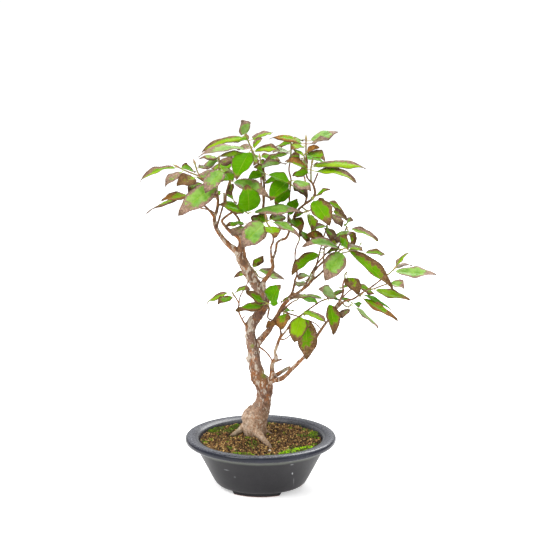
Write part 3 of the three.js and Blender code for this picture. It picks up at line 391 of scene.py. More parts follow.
feet = [arc_foot(FOOT_TURN + turn) for turn in (0, 120, 240)]
pot = merge([pot_body, *feet], "glazed_pot")
print("the pot stands on", len(feet), "feet")

# %% [markdown]
# The glaze is a dark slate grey, bluer and glossier on the lip, where it is thickest. A paler, greenish grey
# band along the bead under the lip is a painted highlight, the rim's top is painted paler in grainy patches,
# partly dust and partly a painted reflection, and the inside of the lip is painted paler grey as painted
# light.
# Water has left a few chalky marks and thin drips on the wall, and the feet show a thread of bare reddish clay
# where the glaze was wiped off before firing.

# %% The glaze
LIP_FOOT = (0.0425, 0.0455)
CHALK_MARKS = [
    (-33, 30.5, 3.4, 0.8, 0.30), (-25, 23.5, 1.4, 1.5, 0.15), (31, 26.8, 0.9, 1.6, 0.75),
    (30.5, 38, 2.2, 1.0, 0.30), (32.4, 16, 0.6, 6.5, 0.20), (29, 42.5, 2.0, 1.2, 0.18),
]


def chalk_on(finish, across, deep, height):
    """How much lime lies on the wall, from 0 to 1: marks and thin drips, on the front alone."""
    chalk = 0.0
    for mark_across, mark_height, half_width, half_height, strength in CHALK_MARKS:
        aside = finish.math("DIVIDE", finish.math("SUBTRACT", across, mark_across * MM), half_width * MM)
        above = finish.math("DIVIDE", finish.math("SUBTRACT", height, mark_height * MM), half_height * MM)
        reach = finish.plus(finish.math("POWER", aside, 2.0), finish.math("POWER", above, 2.0))
        ragged = finish.plus(reach, finish.times(finish.noise(420, 3), 1.1))
        chalk = finish.math("MAXIMUM", chalk, finish.span(ragged, 0.60, 1.45, strength, 0))
    return finish.times(chalk, finish.math("LESS_THAN", deep, 0.0))


def make_glaze():
    """Dark slate on the wall and lip, with the crown's dust and painted reflection, the bead's painted
    highlight, painted light inside the lip, chalk and bare feet over it.
    """
    finish = Finish("slate_glaze")
    centre = finish.add("ShaderNodeVectorMath", operation="SUBTRACT")
    finish.join(finish.place, centre.inputs[0])
    centre.inputs[1].default_value = POT_AXIS
    parts = finish.add("ShaderNodeSeparateXYZ")
    finish.join(centre.outputs[0], parts.inputs[0])
    across, deep, height = parts.outputs
    cloud = finish.noise(38, 5, 0.6)
    speck = finish.noise(900, 2, 0.5)
    wall = finish.ramp(cloud, [(0.3, (0.013, 0.012, 0.014)), (0.7, (0.022, 0.021, 0.023))])
    lip = finish.ramp(cloud, [(0.3, (0.006, 0.007, 0.012)), (0.7, (0.016, 0.018, 0.030))])
    colour = finish.mix(finish.span(height, *LIP_FOOT), wall, lip)
    grain = finish.noise(620, 4, 0.75)
    # The rim's top is painted paler, bluish grey in grainy patches: partly dust, partly a painted reflection
    # of the light.
    dust_and_sheen = finish.span(grain, 0.42, 0.60, 0.1, 1)
    crown_dust_and_sheen = finish.times(finish.span(height, 0.0502, 0.0516), dust_and_sheen)
    colour = finish.mix(crown_dust_and_sheen, colour, (0.150, 0.156, 0.180))
    # Painted highlight: a paler, greenish grey band along the bead under the lip, where the bead catches the
    # light.
    wobble = finish.scaled(cloud, 0.003, 0.0400)
    apart = finish.math("ABSOLUTE", finish.math("SUBTRACT", height, wobble))
    colour = finish.mix(finish.span(apart, 0.0, 0.0026, 0.7, 0), colour, (0.130, 0.140, 0.118))
    around = finish.add("ShaderNodeVectorMath", operation="MULTIPLY")
    finish.join(centre.outputs[0], around.inputs[0])
    around.inputs[1].default_value = (1, 1, 0)
    radius = finish.add("ShaderNodeVectorMath", operation="LENGTH")
    finish.join(around.outputs[0], radius.inputs[0])
    # Painted light: the inside of the lip, above the soil, is made paler grey in grainy patches, against the
    # shade that falls there.
    inside = finish.math("LESS_THAN", radius.outputs["Value"], 0.0640)
    inside = finish.times(inside, finish.span(height, 0.0425, 0.0440))
    inside = finish.times(inside, finish.span(grain, 0.4, 0.6, 0.3, 0.8))
    colour = finish.mix(inside, colour, (0.110, 0.112, 0.125))
    colour = finish.mix(finish.span(speck, 0.62, 0.75, 0, 0.08), colour, (0.16, 0.16, 0.17))
    chalk = chalk_on(finish, across, deep, height)
    colour = finish.mix(chalk, colour, (0.42, 0.43, 0.44))
    bare = finish.span(height, 0.0003, 0.0007, 0.8, 0)
    colour = finish.mix(bare, colour, (0.30, 0.12, 0.07))
    rough = finish.scaled(finish.span(height, 0.041, 0.046, 1, 0), 0.16, 0.20)
    rough = finish.scaled(cloud, 0.12, rough)
    rough = finish.scaled(finish.math("MAXIMUM", chalk, bare), 0.35, rough)
    dimple = finish.bump(finish.noise(260, 3, 0.5), 0.12, 0.0006)
    finish.dress(colour, rough, finish.bump(speck, 0.06, 0.0002, dimple), 0.25)
    finish.join(finish.span(height, *LIP_FOOT, 0.20, 0.27), finish.shader.inputs["Specular IOR Level"])
    return finish.material


hand_over(dressed(pot, make_glaze()), ["pot"], angle=55)

# %% The plastic mesh over the drainage hole
mesh_tones = [(0.3, (0.012, 0.013, 0.014)), (0.8, (0.03, 0.03, 0.03))]
screen_finish = Finish("black_mesh")
screen_colour = screen_finish.ramp(screen_finish.noise(400), mesh_tones)
dressed(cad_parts["drainage_screen"], screen_finish.dress(screen_colour, 0.6))
print("the drainage mesh is", screen_finish.material.name)

# %% [markdown]
# The tree's own measurements come from the front view: each row is [across, up, behind, radius], in the
# photograph's pixels, which are close to millimetres, with the depth behind the pot's axis. spot() sends such
# a place out along its line of sight, so that the wood and leaves fall where the photograph shows them.
# A path runs smoothly through its rows, with spans that follow how far apart the rows are.


# %% Places in the front view, and smooth paths
def spot(across, up, behind):
    """A front-view place, in metres in the shared frame."""
    rise = up - VIEW_MIDDLE[1]
    forward = VIEW_SCALE * math.cos(LOOK_DOWN) + rise * math.sin(LOOK_DOWN)
    lift = rise * math.cos(LOOK_DOWN) - VIEW_SCALE * math.sin(LOOK_DOWN)
    reach = (behind - EYE.y) / forward
    return Vector((EYE.x + (across - VIEW_MIDDLE[0]) * reach, behind, EYE.z + lift * reach)) * MM + POT_AXIS


def along_path(places, share):
    """The place at a share of a smooth path through several places."""
    spans = len(places) - 1
    reached = min(max(share, 0), 1) * spans
    index = min(int(reached), spans - 1)
    here, there = places[index], places[index + 1]
    before = places[index - 1] if index else 2 * here - there
    after = places[index + 2] if index + 2 <= spans else 2 * there - here
    chords = ((before, here), (here, there), (there, after))
    first, middle, last = (max((b - a).length ** 0.5, 1e-6) for a, b in chords)
    straight = (there - here) / middle
    leave = ((here - before) / first - (there - before) / (first + middle) + straight) * middle
    arrive = (straight - (after - here) / (middle + last) + (after - there) / last) * middle
    t = reached - index
    return (
        here * (2 * t**3 - 3 * t**2 + 1) + leave * (t**3 - 2 * t**2 + t)
        + there * (3 * t**2 - 2 * t**3) + arrive * (t**3 - t**2)
    )


def seeded(seed):
    """Draws from 0 to 1, the same ones in every run."""
    state = seed % 2**32

    def draw():
        nonlocal state
        state = (state * 1664525 + 1013904223) % 2**32
        return state / 2**32

    return draw


# %% The trunk and the branches, and the surface roots
TRUNK = [
    (-6, 38, 9, 10), (-6, 50, 9, 11.4), (-6, 58, 8.5, 11.6), (-5, 66, 8, 10.9), (-1, 74, 8, 9.6),
    (1.5, 80, 8, 8.1), (3, 86, 7.5, 7.6), (4, 94, 7, 7.9), (2.8, 100, 6.5, 8.5), (-2.2, 106, 6, 7.5),
    (-4.5, 114, 5, 6.9), (-6.6, 124, 4, 6), (-7.8, 134, 3, 5.7), (-10, 144, 2.5, 5.3),
    (-10.6, 154, 3, 5.2), (-8.4, 162, 4, 5.5), (-3.2, 168, 5, 5.4), (1, 174, 6, 5), (4, 180, 6, 4.3),
    (2, 187, 5, 4.5), (-2, 194, 4, 4.9), (-7.4, 203, 2, 5.3), (-12, 211, 0, 5.3), (-16.4, 219, -1, 5.2),
    (-20, 226, -2, 5), (-24, 234, -2, 4),
]

BRANCHES = {
    "left_main": [
        (-22.5, 232, -2, 3.6), (-31, 238, -4, 2.7), (-37, 244, -6, 2.4), (-42, 251, -8, 2.2),
        (-45.4, 258, -8, 2.1), (-46.6, 266, -6, 1.9), (-44, 274, -4, 1.6), (-43, 284, -2, 1.4),
        (-44, 294, 0, 1.2), (-43, 304, 8, 1), (-42, 313, 16, 0.8),
    ],
    "left_outer": [(-43, 284, -2, 1.3), (-49, 294, -3, 1.1), (-56, 303, -4, 1), (-63, 308.5, -5, 0.8)],
    "left_low": [(-46, 266, -6, 1.4), (-53, 275, -8, 1.1), (-60, 281, -10, 0.9), (-65, 286, -11, 0.8)],
    "left_bare": [(-45, 270, -5, 1), (-52, 274, 2, 0.8), (-61, 276, 9, 0.6)],
    "left_back": [
        (-44, 258, -8, 1.3), (-41, 268, 6, 1), (-37, 282, 20, 0.9), (-33, 298, 32, 0.8),
        (-30, 308, 40, 0.7),
    ],
    "left_cross": [
        (-21, 233, -2, 3), (-21, 244, -5, 2), (-31, 253, -9, 1.8), (-36, 258, -10, 1.6),
        (-39, 263, -11, 1.4), (-33, 269, -12, 1.1), (-26, 273, -14, 1), (-21, 275, -15, 0.8),
    ],
    "left_inner": [
        (-21, 244, -5, 1.6), (-20, 254, -7, 1.3), (-22, 264, -8, 1.2), (-27, 271, -8, 1.1),
        (-34, 278, -9, 1), (-35, 288, -11, 0.9), (-32, 296, -12, 0.8),
    ],
    "leader": [
        (-17, 226, -2, 3), (-18, 237, -5, 1.9), (-14, 240, -6, 1.8), (-11, 243, -6, 1.7),
        (-6, 251, -6, 1.6), (-2, 260, -5, 1.5), (1, 270, -3, 1.4), (3, 285, -1, 1.3), (3, 300, 0, 1.1),
        (1, 309, 0, 1), (-1, 317, 0, 0.9), (-5, 326, 0, 0.8),
    ],
    "leader_back": [
        (-2, 260, -5, 1.3), (2, 272, 8, 1), (2, 288, 24, 0.9), (0, 304, 36, 0.8), (0, 314, 44, 0.7),
    ],
    "upper_right": [
        (1, 190, 5, 3.2), (3, 203, 3, 2.5), (7, 208, 2, 2.3), (10, 213, 1, 2.2), (12, 218, 0, 2),
        (11, 224, 0, 1.9), (13, 228, 2, 1.5), (15, 234, 3, 1.4), (16, 241, 3, 1.3), (20, 244, 2, 1.4),
        (25, 246, 1, 1.4), (28, 252, 1, 1.3), (31, 261, 1, 1.2), (34, 270, 1, 1.1), (38, 275, 1, 1.1),
        (44, 280, 1, 1.2), (51, 285, 1, 1.3), (54, 290, 1, 1.3), (53, 297, 0, 1.1), (50, 303, -1, 0.8),
    ],
    "front_centre": [
        (11, 224, 0, 1.6), (10, 231, -3, 1.2), (10, 237, -7, 1.1), (12, 242, -12, 1), (12, 248, -18, 0.9),
        (9, 256, -24, 0.8),
    ],
    "crown_stub": [(52, 299, 0, 0.9), (57, 311, 3, 0.6)],
    "crown_right": [(52, 300, 1, 0.9), (46, 307, 4, 0.8), (46, 319, 9, 0.8), (45, 329, 14, 0.7)],
    "crown_centre": [
        (28, 252, 1, 1.2), (27, 264, 4, 1), (28, 279, 7, 0.9), (29, 294, 10, 0.9), (30, 304, 14, 0.8),
        (28, 314, 19, 0.8), (29, 322, 24, 0.7),
    ],
    "crown_right_back": [(44, 280, 1, 1.1), (46, 290, 16, 0.9), (44, 304, 30, 0.8), (41, 316, 42, 0.7)],
    "right_back": [(34, 270, 1, 1), (44, 272, 16, 0.9), (54, 276, 30, 0.8), (60, 279, 38, 0.7)],
    "first_right": [
        (-7, 136, 3, 4), (1, 146, 2, 3.1), (7, 153, 1, 3), (12, 161, 0, 2.7), (17, 169, -1, 2.4),
        (20, 175, -1, 2.2), (25, 182, -1, 2), (34, 189, -3, 1.7), (42, 195, -4, 1.5), (48, 200, -5, 1.5),
        (52, 206, -6, 1.5), (53, 212, -7, 1.3), (55, 215, -7, 1.2), (62, 222, -9, 1.1), (71, 229, -12, 1),
        (77, 232, -14, 0.8),
    ],
    "thin_upright": [
        (26, 183, -1, 1.6), (31, 191, 2, 1.3), (33, 198, 5, 1.2), (34, 204, 8, 1.1), (36, 209, 9, 1),
        (35, 218, 11, 0.9), (34, 227, 12, 0.8), (35, 236, 13, 0.8), (38, 243, 12, 0.7),
    ],
    "far_upper": [
        (53, 205, -6, 1.2), (60, 211, 0, 1), (65, 217, 5, 0.9), (72, 228, 8, 0.9), (78, 238, 10, 0.8),
        (82, 247, 11, 0.7),
    ],
    "far_inner": [
        (54, 214, -7, 1), (57, 225, 0, 0.9), (60, 237, 6, 0.8), (63, 248, 10, 0.8), (66, 258, 13, 0.7),
        (68, 266, 15, 0.7),
    ],
    "low_back": [
        (42, 195, -4, 1.3), (48, 206, 10, 1), (56, 220, 24, 0.9), (66, 231, 36, 0.8), (71, 236, 41, 0.7),
    ],
    "first_stub": [(7, 154, 1, 1.2), (9, 161, -4, 0.8), (14, 163, -7, 0.5)],
    "dark_stub": [(3, 177, 5, 1.4), (8, 176, -4, 1), (7, 166, -8, 0.8), (11, 164, -9, 0.6)],
    "inner_back": [(17, 169, -1, 1.3), (24, 176, 12, 1), (30, 181, 24, 0.8), (33, 183, 30, 0.7)],
    "second_right": [
        (2, 99, 6, 4.4), (7, 100, 4, 3.4), (11, 108, 2, 2.9), (11, 117, 1, 2.3), (12, 122, 0, 2.1),
        (15, 126, -1, 2), (14, 132, -2, 1.6), (16, 138, -3, 1.7), (18, 144, -4, 1.5), (20, 150, -5, 1.2),
        (19, 155, -5, 0.8),
    ],
    "second_fork": [
        (18, 145, -4, 1.3), (25, 153, -8, 1.1), (31, 162, -11, 1), (39, 168, -13, 0.9),
        (47, 174, -14, 0.9), (54, 179, -14, 0.8), (60, 183, -14, 0.7),
    ],
    "second_bare": [(18, 145, -4, 1), (24, 145, 2, 0.7), (30, 150, 8, 0.5)],
    "short_stub": [(13, 122, 0, 1.3), (21, 125, -3, 0.9)],
    "thick_stub": [(9, 105, 3, 2.3), (22, 113, 8, 2), (29, 117, 12, 1.6)],
    "low_branch": [
        (3, 100, 6, 3.4), (10, 103, 3, 2.7), (19, 105, 0, 2.5), (24, 108, -2, 2.3), (29, 113, -4, 2.1),
        (39, 123, -6, 1.9), (45, 129, -7, 1.8), (50, 138, -8, 1.6), (56, 148, -9, 1.5),
        (62, 157, -9, 1.5), (69, 166, -10, 1.4), (75, 176, -10, 1.3), (79, 184, -10, 1.2),
        (82, 191, -11, 1.1), (82, 200, -12, 0.9), (84, 206, -13, 0.8),
    ],
    "low_outer": [
        (75, 175, -10, 1.3), (84, 183, -9, 1.1), (92, 185, -8, 1), (101, 191, -7, 1), (109, 196, -5, 0.9),
        (117, 202, -3, 0.8), (126, 209, 0, 0.7),
    ],
    "low_far_back": [(69, 166, -10, 1.2), (74, 177, 4, 0.9), (82, 187, 18, 0.8), (88, 193, 28, 0.7)],
    "arched_twig": [(-3, 138, 3, 1), (5, 132, -3, 0.8), (9, 127, -4, 0.8), (12, 121, -1, 0.8)],
    "drooping_twig": [
        (20, 174, -1, 1.2), (29, 170, -5, 0.8), (36, 168, -5, 0.8), (42, 165, -6, 0.7),
        (49, 163, -6, 0.7), (55, 160, -6, 0.6), (60, 155, -5, 0.5),
    ],
    "trunk_spur": [
        (-10, 151, 3, 1.6), (-18, 163, -2, 0.9), (-21, 169, -4, 0.9), (-23, 175, -6, 0.8),
        (-22, 180, -7, 0.8), (-25, 186, -8, 0.7),
    ],
    "spur_side": [(-19, 165, -2, 0.8), (-15, 169, -7, 0.5)],
    "spur_upright": [
        (-22, 180, -7, 0.7), (-21, 187, -8, 0.6), (-18, 193, -9, 0.6), (-16, 196, -10, 0.6),
        (-12, 204, -9, 0.5),
    ],
    "knob_left": [(-7, 123, 4, 4.4), (-12, 125, 2, 3), (-14.5, 126, 1, 1.6)],
    "knob_right": [(-3, 111, 5, 4.8), (0.4, 112.4, 2, 3.4), (1.6, 113, 0.5, 2)],
    "flare_left": [(-6, 74, 9, 7), (-13, 67, 7, 6.4), (-12.5, 59, 6, 4.6), (-11, 51, 6, 4.2)],
}

ROOTS = {
    "root_front_right": [
        (-7, 4, 7, 6.4), (-5, 1, 3.6, 5), (0, -5, 1.6, 3.9), (4, -12, 0.9, 3.1), (8, -22, 0.3, 2.3),
        (10.5, -28, -1.2, 1.6), (12, -32, -2.6, 1),
    ],
    "root_left": [
        (-12, 9, 9, 4), (-16.5, 8.5, 7.4, 3.4), (-20.5, 8, 4.6, 3), (-24, 8, 2.4, 2.5),
        (-28, 8.5, 0.6, 1.9), (-32, 9, -1.6, 1.1),
    ],
    "root_right": [(-1, 9, 3, 5.4), (5, 12, 0, 3.2), (10, 15, -1.6, 2), (15, 18, -3, 1.2)],
    "root_back": [(-6, 14, 4, 7), (-7, 24, 0.4, 3.8), (-4, 34, -0.8, 2.3), (1, 43, -2.8, 1.2)],
}
print(len(BRANCHES), "branches and knobs,", len(ROOTS), "roots")

# %% [markdown]
# The soil's surface is a low mound round the trunk with a slight swell, 5 mm below the rim.


# %% How high the soil stands
TRUNK_FOOT = (-6, 9)
SOIL_LEVEL, MOUND, MOUND_REACH, SWELL = 46.6, 5.6, 18, 0.5


def soil_height(x, y):
    """The soil's height at a place from the pot's axis, all in millimetres."""
    away = math.hypot(x - TRUNK_FOOT[0], y - TRUNK_FOOT[1])
    mound = MOUND * math.exp(-((away / MOUND_REACH) ** 2))
    return SOIL_LEVEL + mound + SWELL * math.sin(x * 0.17 + 1.2) * math.cos(y * 0.21 - 0.4)


def on_soil(x, y, rise):
    """A place above or below the soil's surface, in metres in the shared frame."""
    return Vector((x, y, soil_height(x, y) + rise)) * MM + POT_AXIS


print("the soil is", round(soil_height(*TRUNK_FOOT), 1), "mm high at the trunk")


# %% [markdown]
# Wood is swept: a curve runs along each path and its bevel gives the round section, with a radius at every
# point. Thick wood is then melted into one skin by a voxel remesh, so that branches leave the trunk in smooth
# collars, and its points are moved along their normals for the swellings, hollows and flakes of old bark.
# Twigs are too thin for that, and stay tubes of eight sides with a swelling at each bud scar.

# %% Sweeping wood along its paths
THICK_FROM = 1.12
KNOBS = ("knob_left", "knob_right", "flare_left")
STUBS = ("spur_side", "first_stub", "short_stub", "thick_stub")
PATH_STEP = 1.2
TRUNK_SIDES, LIMB_SIDES, TWIG_SIDES = 20, 14, 8
SKIN_VOXEL = 0.56


def sampled(rows, placed, step):
    """Points along a path, a step apart, with the radius at each."""
    places = [placed(*row[:3]) for row in rows]
    spans = len(rows) - 1
    points = []
    for k in range(spans):
        parts = max(1, round((places[k + 1] - places[k]).length / (step * MM)))
        points += [(k + j / parts) / spans for j in range(parts)]
    points.append(1)
    made = []
    for share in points:
        reached = share * spans
        index = min(int(reached), spans - 1)
        part = reached - index
        made.append((along_path(places, share), rows[index][3] * (1 - part) + rows[index + 1][3] * part))
    return made


def sweep(points, name, sides):
    """A round closed tube through (place, radius in mm) points, made from a bevelled curve."""
    start_fresh()
    line = bpy.data.curves.new(name, "CURVE")
    line.dimensions = "3D"
    line.bevel_depth = MM
    line.bevel_resolution = (sides - 4) // 2
    line.use_fill_caps = True
    run = line.splines.new("POLY")
    run.points.add(len(points) - 1)
    for mark, (place, radius) in zip(run.points, points):
        mark.co = (*place, 1)
        mark.radius = radius
    in_scene(name, line)
    bpy.ops.object.convert(target="MESH")
    face_outwards(weld=1e-7)
    return bpy.context.object


def with_bud_scars(points, draw):
    """Adds a small swelling at every bud scar, and slight unevenness between them."""
    travelled, next_scar = 0.0, 4 + 6 * draw()
    scars = []
    made = []
    for k, (place, radius) in enumerate(points):
        if k:
            travelled += (place - points[k - 1][0]).length / MM
        if travelled > next_scar:
            scars.append(travelled)
            next_scar = travelled + 7 + 8 * draw()
        near = min((abs(travelled - scar) for scar in scars), default=9)
        made.append((place, radius * (0.95 + 0.1 * draw()) + 0.22 * math.exp(-((near / 0.9) ** 2))))
    return made


thick_runs, thin_runs, wood_samples, sample_on_trunk = [], [], [], []
scar_draw = seeded(7)
for name, rows in [("trunk", TRUNK), *BRANCHES.items()]:
    points = sampled(rows, spot, PATH_STEP)
    thick = [radius >= THICK_FROM for _, radius in points]
    split = thick.index(False) if False in thick else len(points)
    if name in (*KNOBS, *STUBS):
        split = len(points)
    if split > 1:
        thick_part = points[: split + 1]
        thick_runs.append(sweep(thick_part, name, TRUNK_SIDES if name == "trunk" else LIMB_SIDES))
        wood_samples += thick_part
        sample_on_trunk += [name in ("trunk", *KNOBS)] * len(thick_part)
    if split < len(points) - 1:
        thin = with_bud_scars(points[max(split - 2, 0):], scar_draw)
        thin_runs.append(sweep(thin, name + "_twig", TWIG_SIDES))
for name, rows in ROOTS.items():
    points = sampled(rows, on_soil, PATH_STEP)
    thick_runs.append(sweep(points, name, LIMB_SIDES))
    wood_samples += points
    sample_on_trunk += [True] * len(points)
print(len(thick_runs), "thick runs and", len(thin_runs), "twigs")

# %% The old wood, melted into one skin and given its relief
SKIN_BLOCK = 2000

old_wood = merge(thick_runs, "trunk_and_branches")
harden(old_wood, "REMESH", mode="VOXEL", voxel_size=SKIN_VOXEL * MM, adaptivity=0)
harden(old_wood, "SMOOTH", factor=0.5, iterations=4)


def carve_bark(wood, samples, on_trunk):
    """Moves the skin along its normals: broad swells, then flakes that are taller than wide."""
    centres = np.array([tuple(place) for place, _ in samples])
    radii = np.array([radius for _, radius in samples])
    on_trunk = np.array(on_trunk)
    mesh = wood.data
    places = np.empty(len(mesh.vertices) * 3)
    mesh.vertices.foreach_get("co", places)
    places = places.reshape(-1, 3)
    normals = np.array([tuple(vertex.normal) for vertex in mesh.vertices])
    moved = places.copy()
    facts = np.ones((len(places), 4))
    # How far each point faces left, towards the key light; the bark uses it for painted light and painted
    # shade.
    facts[:, 1] = 0.5 - 0.5 * normals[:, 0]
    for start in range(0, len(places), SKIN_BLOCK):
        block = places[start:start + SKIN_BLOCK]
        apart = np.linalg.norm(block[:, None, :] - centres[None], axis=2) / MM - radii[None]
        thickness = radii[apart.argmin(axis=1)]
        nearer = apart[:, on_trunk].min(axis=1) - apart[:, ~on_trunk].min(axis=1)
        facts[start:start + SKIN_BLOCK, 0] = np.clip(0.5 + nearer / 6, 0, 1)
        for k, (place, thick) in enumerate(zip(block, thickness)):
            swell = noise.noise(Vector(place) * 95) * min(thick, 6) * 0.13
            swell += noise.noise(Vector(place) * 260 + Vector((5, 2, 9))) * min(thick / 4, 1) * 0.42
            lean = Vector((place[0] * 520, place[1] * 520, place[2] * 300))
            flake = max(0.0, noise.fractal(lean, 1.0, 2.0, 3) - 0.05) * min(thick / 5, 1) * 0.9
            moved[start + k] = place + normals[start + k] * (swell + flake) * MM
    mesh.vertices.foreach_set("co", moved.ravel())
    bark = mesh.color_attributes.new("bark", "FLOAT_COLOR", "POINT")
    bark.data.foreach_set("color", facts.ravel())
    mesh.update()


carve_bark(old_wood, wood_samples, sample_on_trunk)
twigs = merge(thin_runs, "twigs")
print("old wood", len(old_wood.data.vertices), "twigs", len(twigs.data.vertices), "vertices")

# %% [markdown]
# Stewartia bark is smooth and peels in thin flakes. The root flare is a light tan, above it the trunk is
# mauve-brown with dark streaks, then orange-brown at the first fork. From there up it is mauve, mottled with
# whitish flakes, more of them on the left side, which faces the key light, as painted light; the side turned
# away is darkened as painted shade. Branches are a warmer brown. The carved skin knows how far it belongs to a
# branch and how far it faces left, towards the key light. On the flare the side facing the light is painted
# paler and the other side darker, as painted light and shade. Dark, rusty and whitish patches have sharp
# edges, from warped noise stretched along the trunk. Algae and lichen sit round old knobs and on one dead
# stub, and dark dirt where the wood meets the soil.

# %% The bark
ALGAE = [(-26.0, 2.5, 113, 6), (-36, -3.5, 143, 2.6), (-34, 12, 116, 4)]
LICHEN = [(-15, 0, 124, 7), (-15, -2, 140, 8), (-5, 8, 116, 7), (-50, 7, 50, 9)]


def weathering_and_painted_light(finish, colour, zone, faces_light, patch, height):
    """The old wood's last layers: painted shade and painted sunlight on the flare, its scales, lichen, algae
    and dirt.
    """
    scale = finish.noise(420, 4, 0.62, warp=0.6)
    low = finish.span(zone, 0.10, 0.20, 1, 0)
    # Painted shade on the flare's side turned from the key light, and painted sunlight on the side facing it.
    shady = finish.times(finish.span(faces_light, 0.50, 0.20, 0, 0.6), low)
    colour = finish.mix(shady, colour, (0.260, 0.150, 0.085))
    sunny = finish.times(finish.span(faces_light, 0.50, 0.80, 0, 0.4), low)
    colour = finish.mix(sunny, colour, (0.700, 0.520, 0.390))
    dark_scales = finish.times(finish.span(scale, 0.50, 0.60, 0, 0.55), low)
    colour = finish.mix(dark_scales, colour, (0.20, 0.115, 0.07))
    pale_scales = finish.times(finish.span(scale, 0.46, 0.38, 0, 0.50), low)
    colour = finish.mix(pale_scales, colour, (0.74, 0.62, 0.50))
    for spots, tint, share in ((LICHEN, (0.40, 0.37, 0.27), 0.6), (ALGAE, (0.15, 0.23, 0.025), 0.85)):
        for across, deep, up, reach in spots:
            apart = finish.add("ShaderNodeVectorMath", operation="DISTANCE")
            finish.join(finish.place, apart.inputs[0])
            apart.inputs[1].default_value = (across * MM, deep * MM, up * MM)
            near = finish.scaled(patch, 0.006, apart.outputs["Value"])
            spot_here = finish.span(near, reach * 0.75 * MM, (reach + 3) * MM, share, 0)
            colour = finish.mix(spot_here, colour, tint)
    dirt = finish.scaled(patch, 0.014, height)
    colour = finish.mix(finish.span(dirt, 0.055, 0.061, 0.8, 0), colour, (0.10, 0.058, 0.026))
    return colour


def make_bark(name, flakes, twig):
    """Bark for the old wood or, simpler and warmer, for twigs. Whitish flakes begin at a level of noise."""
    finish = Finish(name)
    parts = finish.add("ShaderNodeSeparateXYZ")
    finish.join(finish.place, parts.inputs[0])
    height = parts.outputs[2]
    facts = finish.add("ShaderNodeSeparateColor")
    finish.join(finish.add("ShaderNodeAttribute", attribute_name="bark").outputs["Color"], facts.inputs[0])
    limb, faces_light = facts.outputs[0], facts.outputs[1]
    broad = finish.noise(55, 3, 0.6)
    tall = finish.add("ShaderNodeMapping")
    tall.inputs["Scale"].default_value = (1, 1, 0.42)
    finish.join(finish.place, tall.inputs["Vector"])
    patch = finish.noise(270, 4, 0.62, place=tall.outputs[0], warp=0.8)
    rust = finish.noise(170, 4, 0.6, warp=0.5)
    pale = finish.noise(230, 5, 0.66, place=tall.outputs[0], warp=1.0)
    fine = finish.noise(1200, 4, 0.6, place=tall.outputs[0])
    branch_colour = finish.ramp(rust, [
        (0.34, (0.180, 0.085, 0.050)), (0.48, (0.270, 0.125, 0.055)), (0.60, (0.330, 0.150, 0.055)),
    ])
    if twig:
        colour = finish.mix(0.25, branch_colour, (0.14, 0.06, 0.03))
        flakes_and_painted_light = 0.5
    else:
        zone = finish.span(finish.scaled(broad, 0.016, height), 0.045, 0.315)
        colour = finish.ramp(zone, [
            (0.0, (0.47, 0.31, 0.19)), (0.10, (0.57, 0.385, 0.25)), (0.155, (0.29, 0.165, 0.100)),
            (0.215, (0.23, 0.112, 0.068)), (0.250, (0.27, 0.120, 0.045)), (0.290, (0.26, 0.120, 0.055)),
            (0.325, (0.27, 0.165, 0.115)), (0.460, (0.24, 0.138, 0.095)), (0.510, (0.175, 0.085, 0.055)),
            (0.600, (0.26, 0.155, 0.105)), (0.735, (0.31, 0.170, 0.085)), (0.90, (0.33, 0.165, 0.070)),
        ])
        colour = finish.mix(limb, colour, branch_colour)
        flakes_and_painted_light = finish.ramp(zone, [
            (0.0, 0.30), (0.12, 0.10), (0.28, 0.25), (0.33, 1.0), (0.46, 0.9), (0.52, 0.35), (0.60, 0.85),
            (0.74, 0.45), (0.90, 0.3),
        ])
        # Painted light: more whitish flakes on the trunk's side that faces the key light.
        flakes_and_painted_light = finish.scaled(faces_light, 0.5, finish.math("SUBTRACT", flakes_and_painted_light, 0.25))
        flakes_and_painted_light = finish.mix(limb, flakes_and_painted_light, (0.35, 0.35, 0.35))
        # Painted shade: the side of the old wood turned away from the key light is darkened.
        colour = finish.mix(finish.span(faces_light, 0.05, 0.75, 0.35, 0), colour, (0.060, 0.030, 0.018))
    streak = finish.mix(0.78, colour, (0.050, 0.022, 0.013))
    streaky = 0.8 if twig else finish.span(zone, 0.09, 0.17, 0.35, 0.8)
    streaked = finish.times(finish.span(patch, 0.51, 0.56), streaky)
    colour = finish.mix(streaked, colour, streak)
    colour = finish.mix(finish.span(rust, 0.55, 0.60, 0, 0.6), colour, (0.34, 0.125, 0.035))
    near_flake = finish.scaled(flakes_and_painted_light, 0.09, pale)
    colour = finish.mix(finish.span(near_flake, flakes, flakes + 0.03, 0, 0.85), colour, (0.57, 0.495, 0.405))
    colour = finish.mix(finish.span(fine, 0.35, 0.65, 0.40, 0), colour, (0.06, 0.032, 0.022))
    if not twig:
        colour = weathering_and_painted_light(finish, colour, zone, faces_light, patch, height)
    ridge = finish.bump(finish.scaled(pale, 0.8, patch), 0.7, 0.0010)
    rough = finish.span(pale, 0.4, 0.7, 0.62, 0.85)
    return finish.dress(colour, rough, finish.bump(fine, 0.5, 0.0003, ridge), 0.2)


hand_over(dressed(old_wood, make_bark("peeling_bark", 0.585, False)), ["trunk_branches"])
hand_over(dressed(twigs, make_bark("twig_bark", 0.64, True)), ["trunk_branches"])

# %% [markdown]
# The soil is loose fired-clay grit and bark, 1 to 3 mm across. The packed soil body stays as its dark bed,
# and single grains lie over it: one faceted grain is made by jittering an icosphere, and copies of it, each
# with its own size and turn, are dropped onto the bed. A colour attribute makes every grain brown, tan, ochre
# or greenish. Dropping them with a ray keeps them on the bed, and the distance to the wood's skin keeps them
# out of the wood.

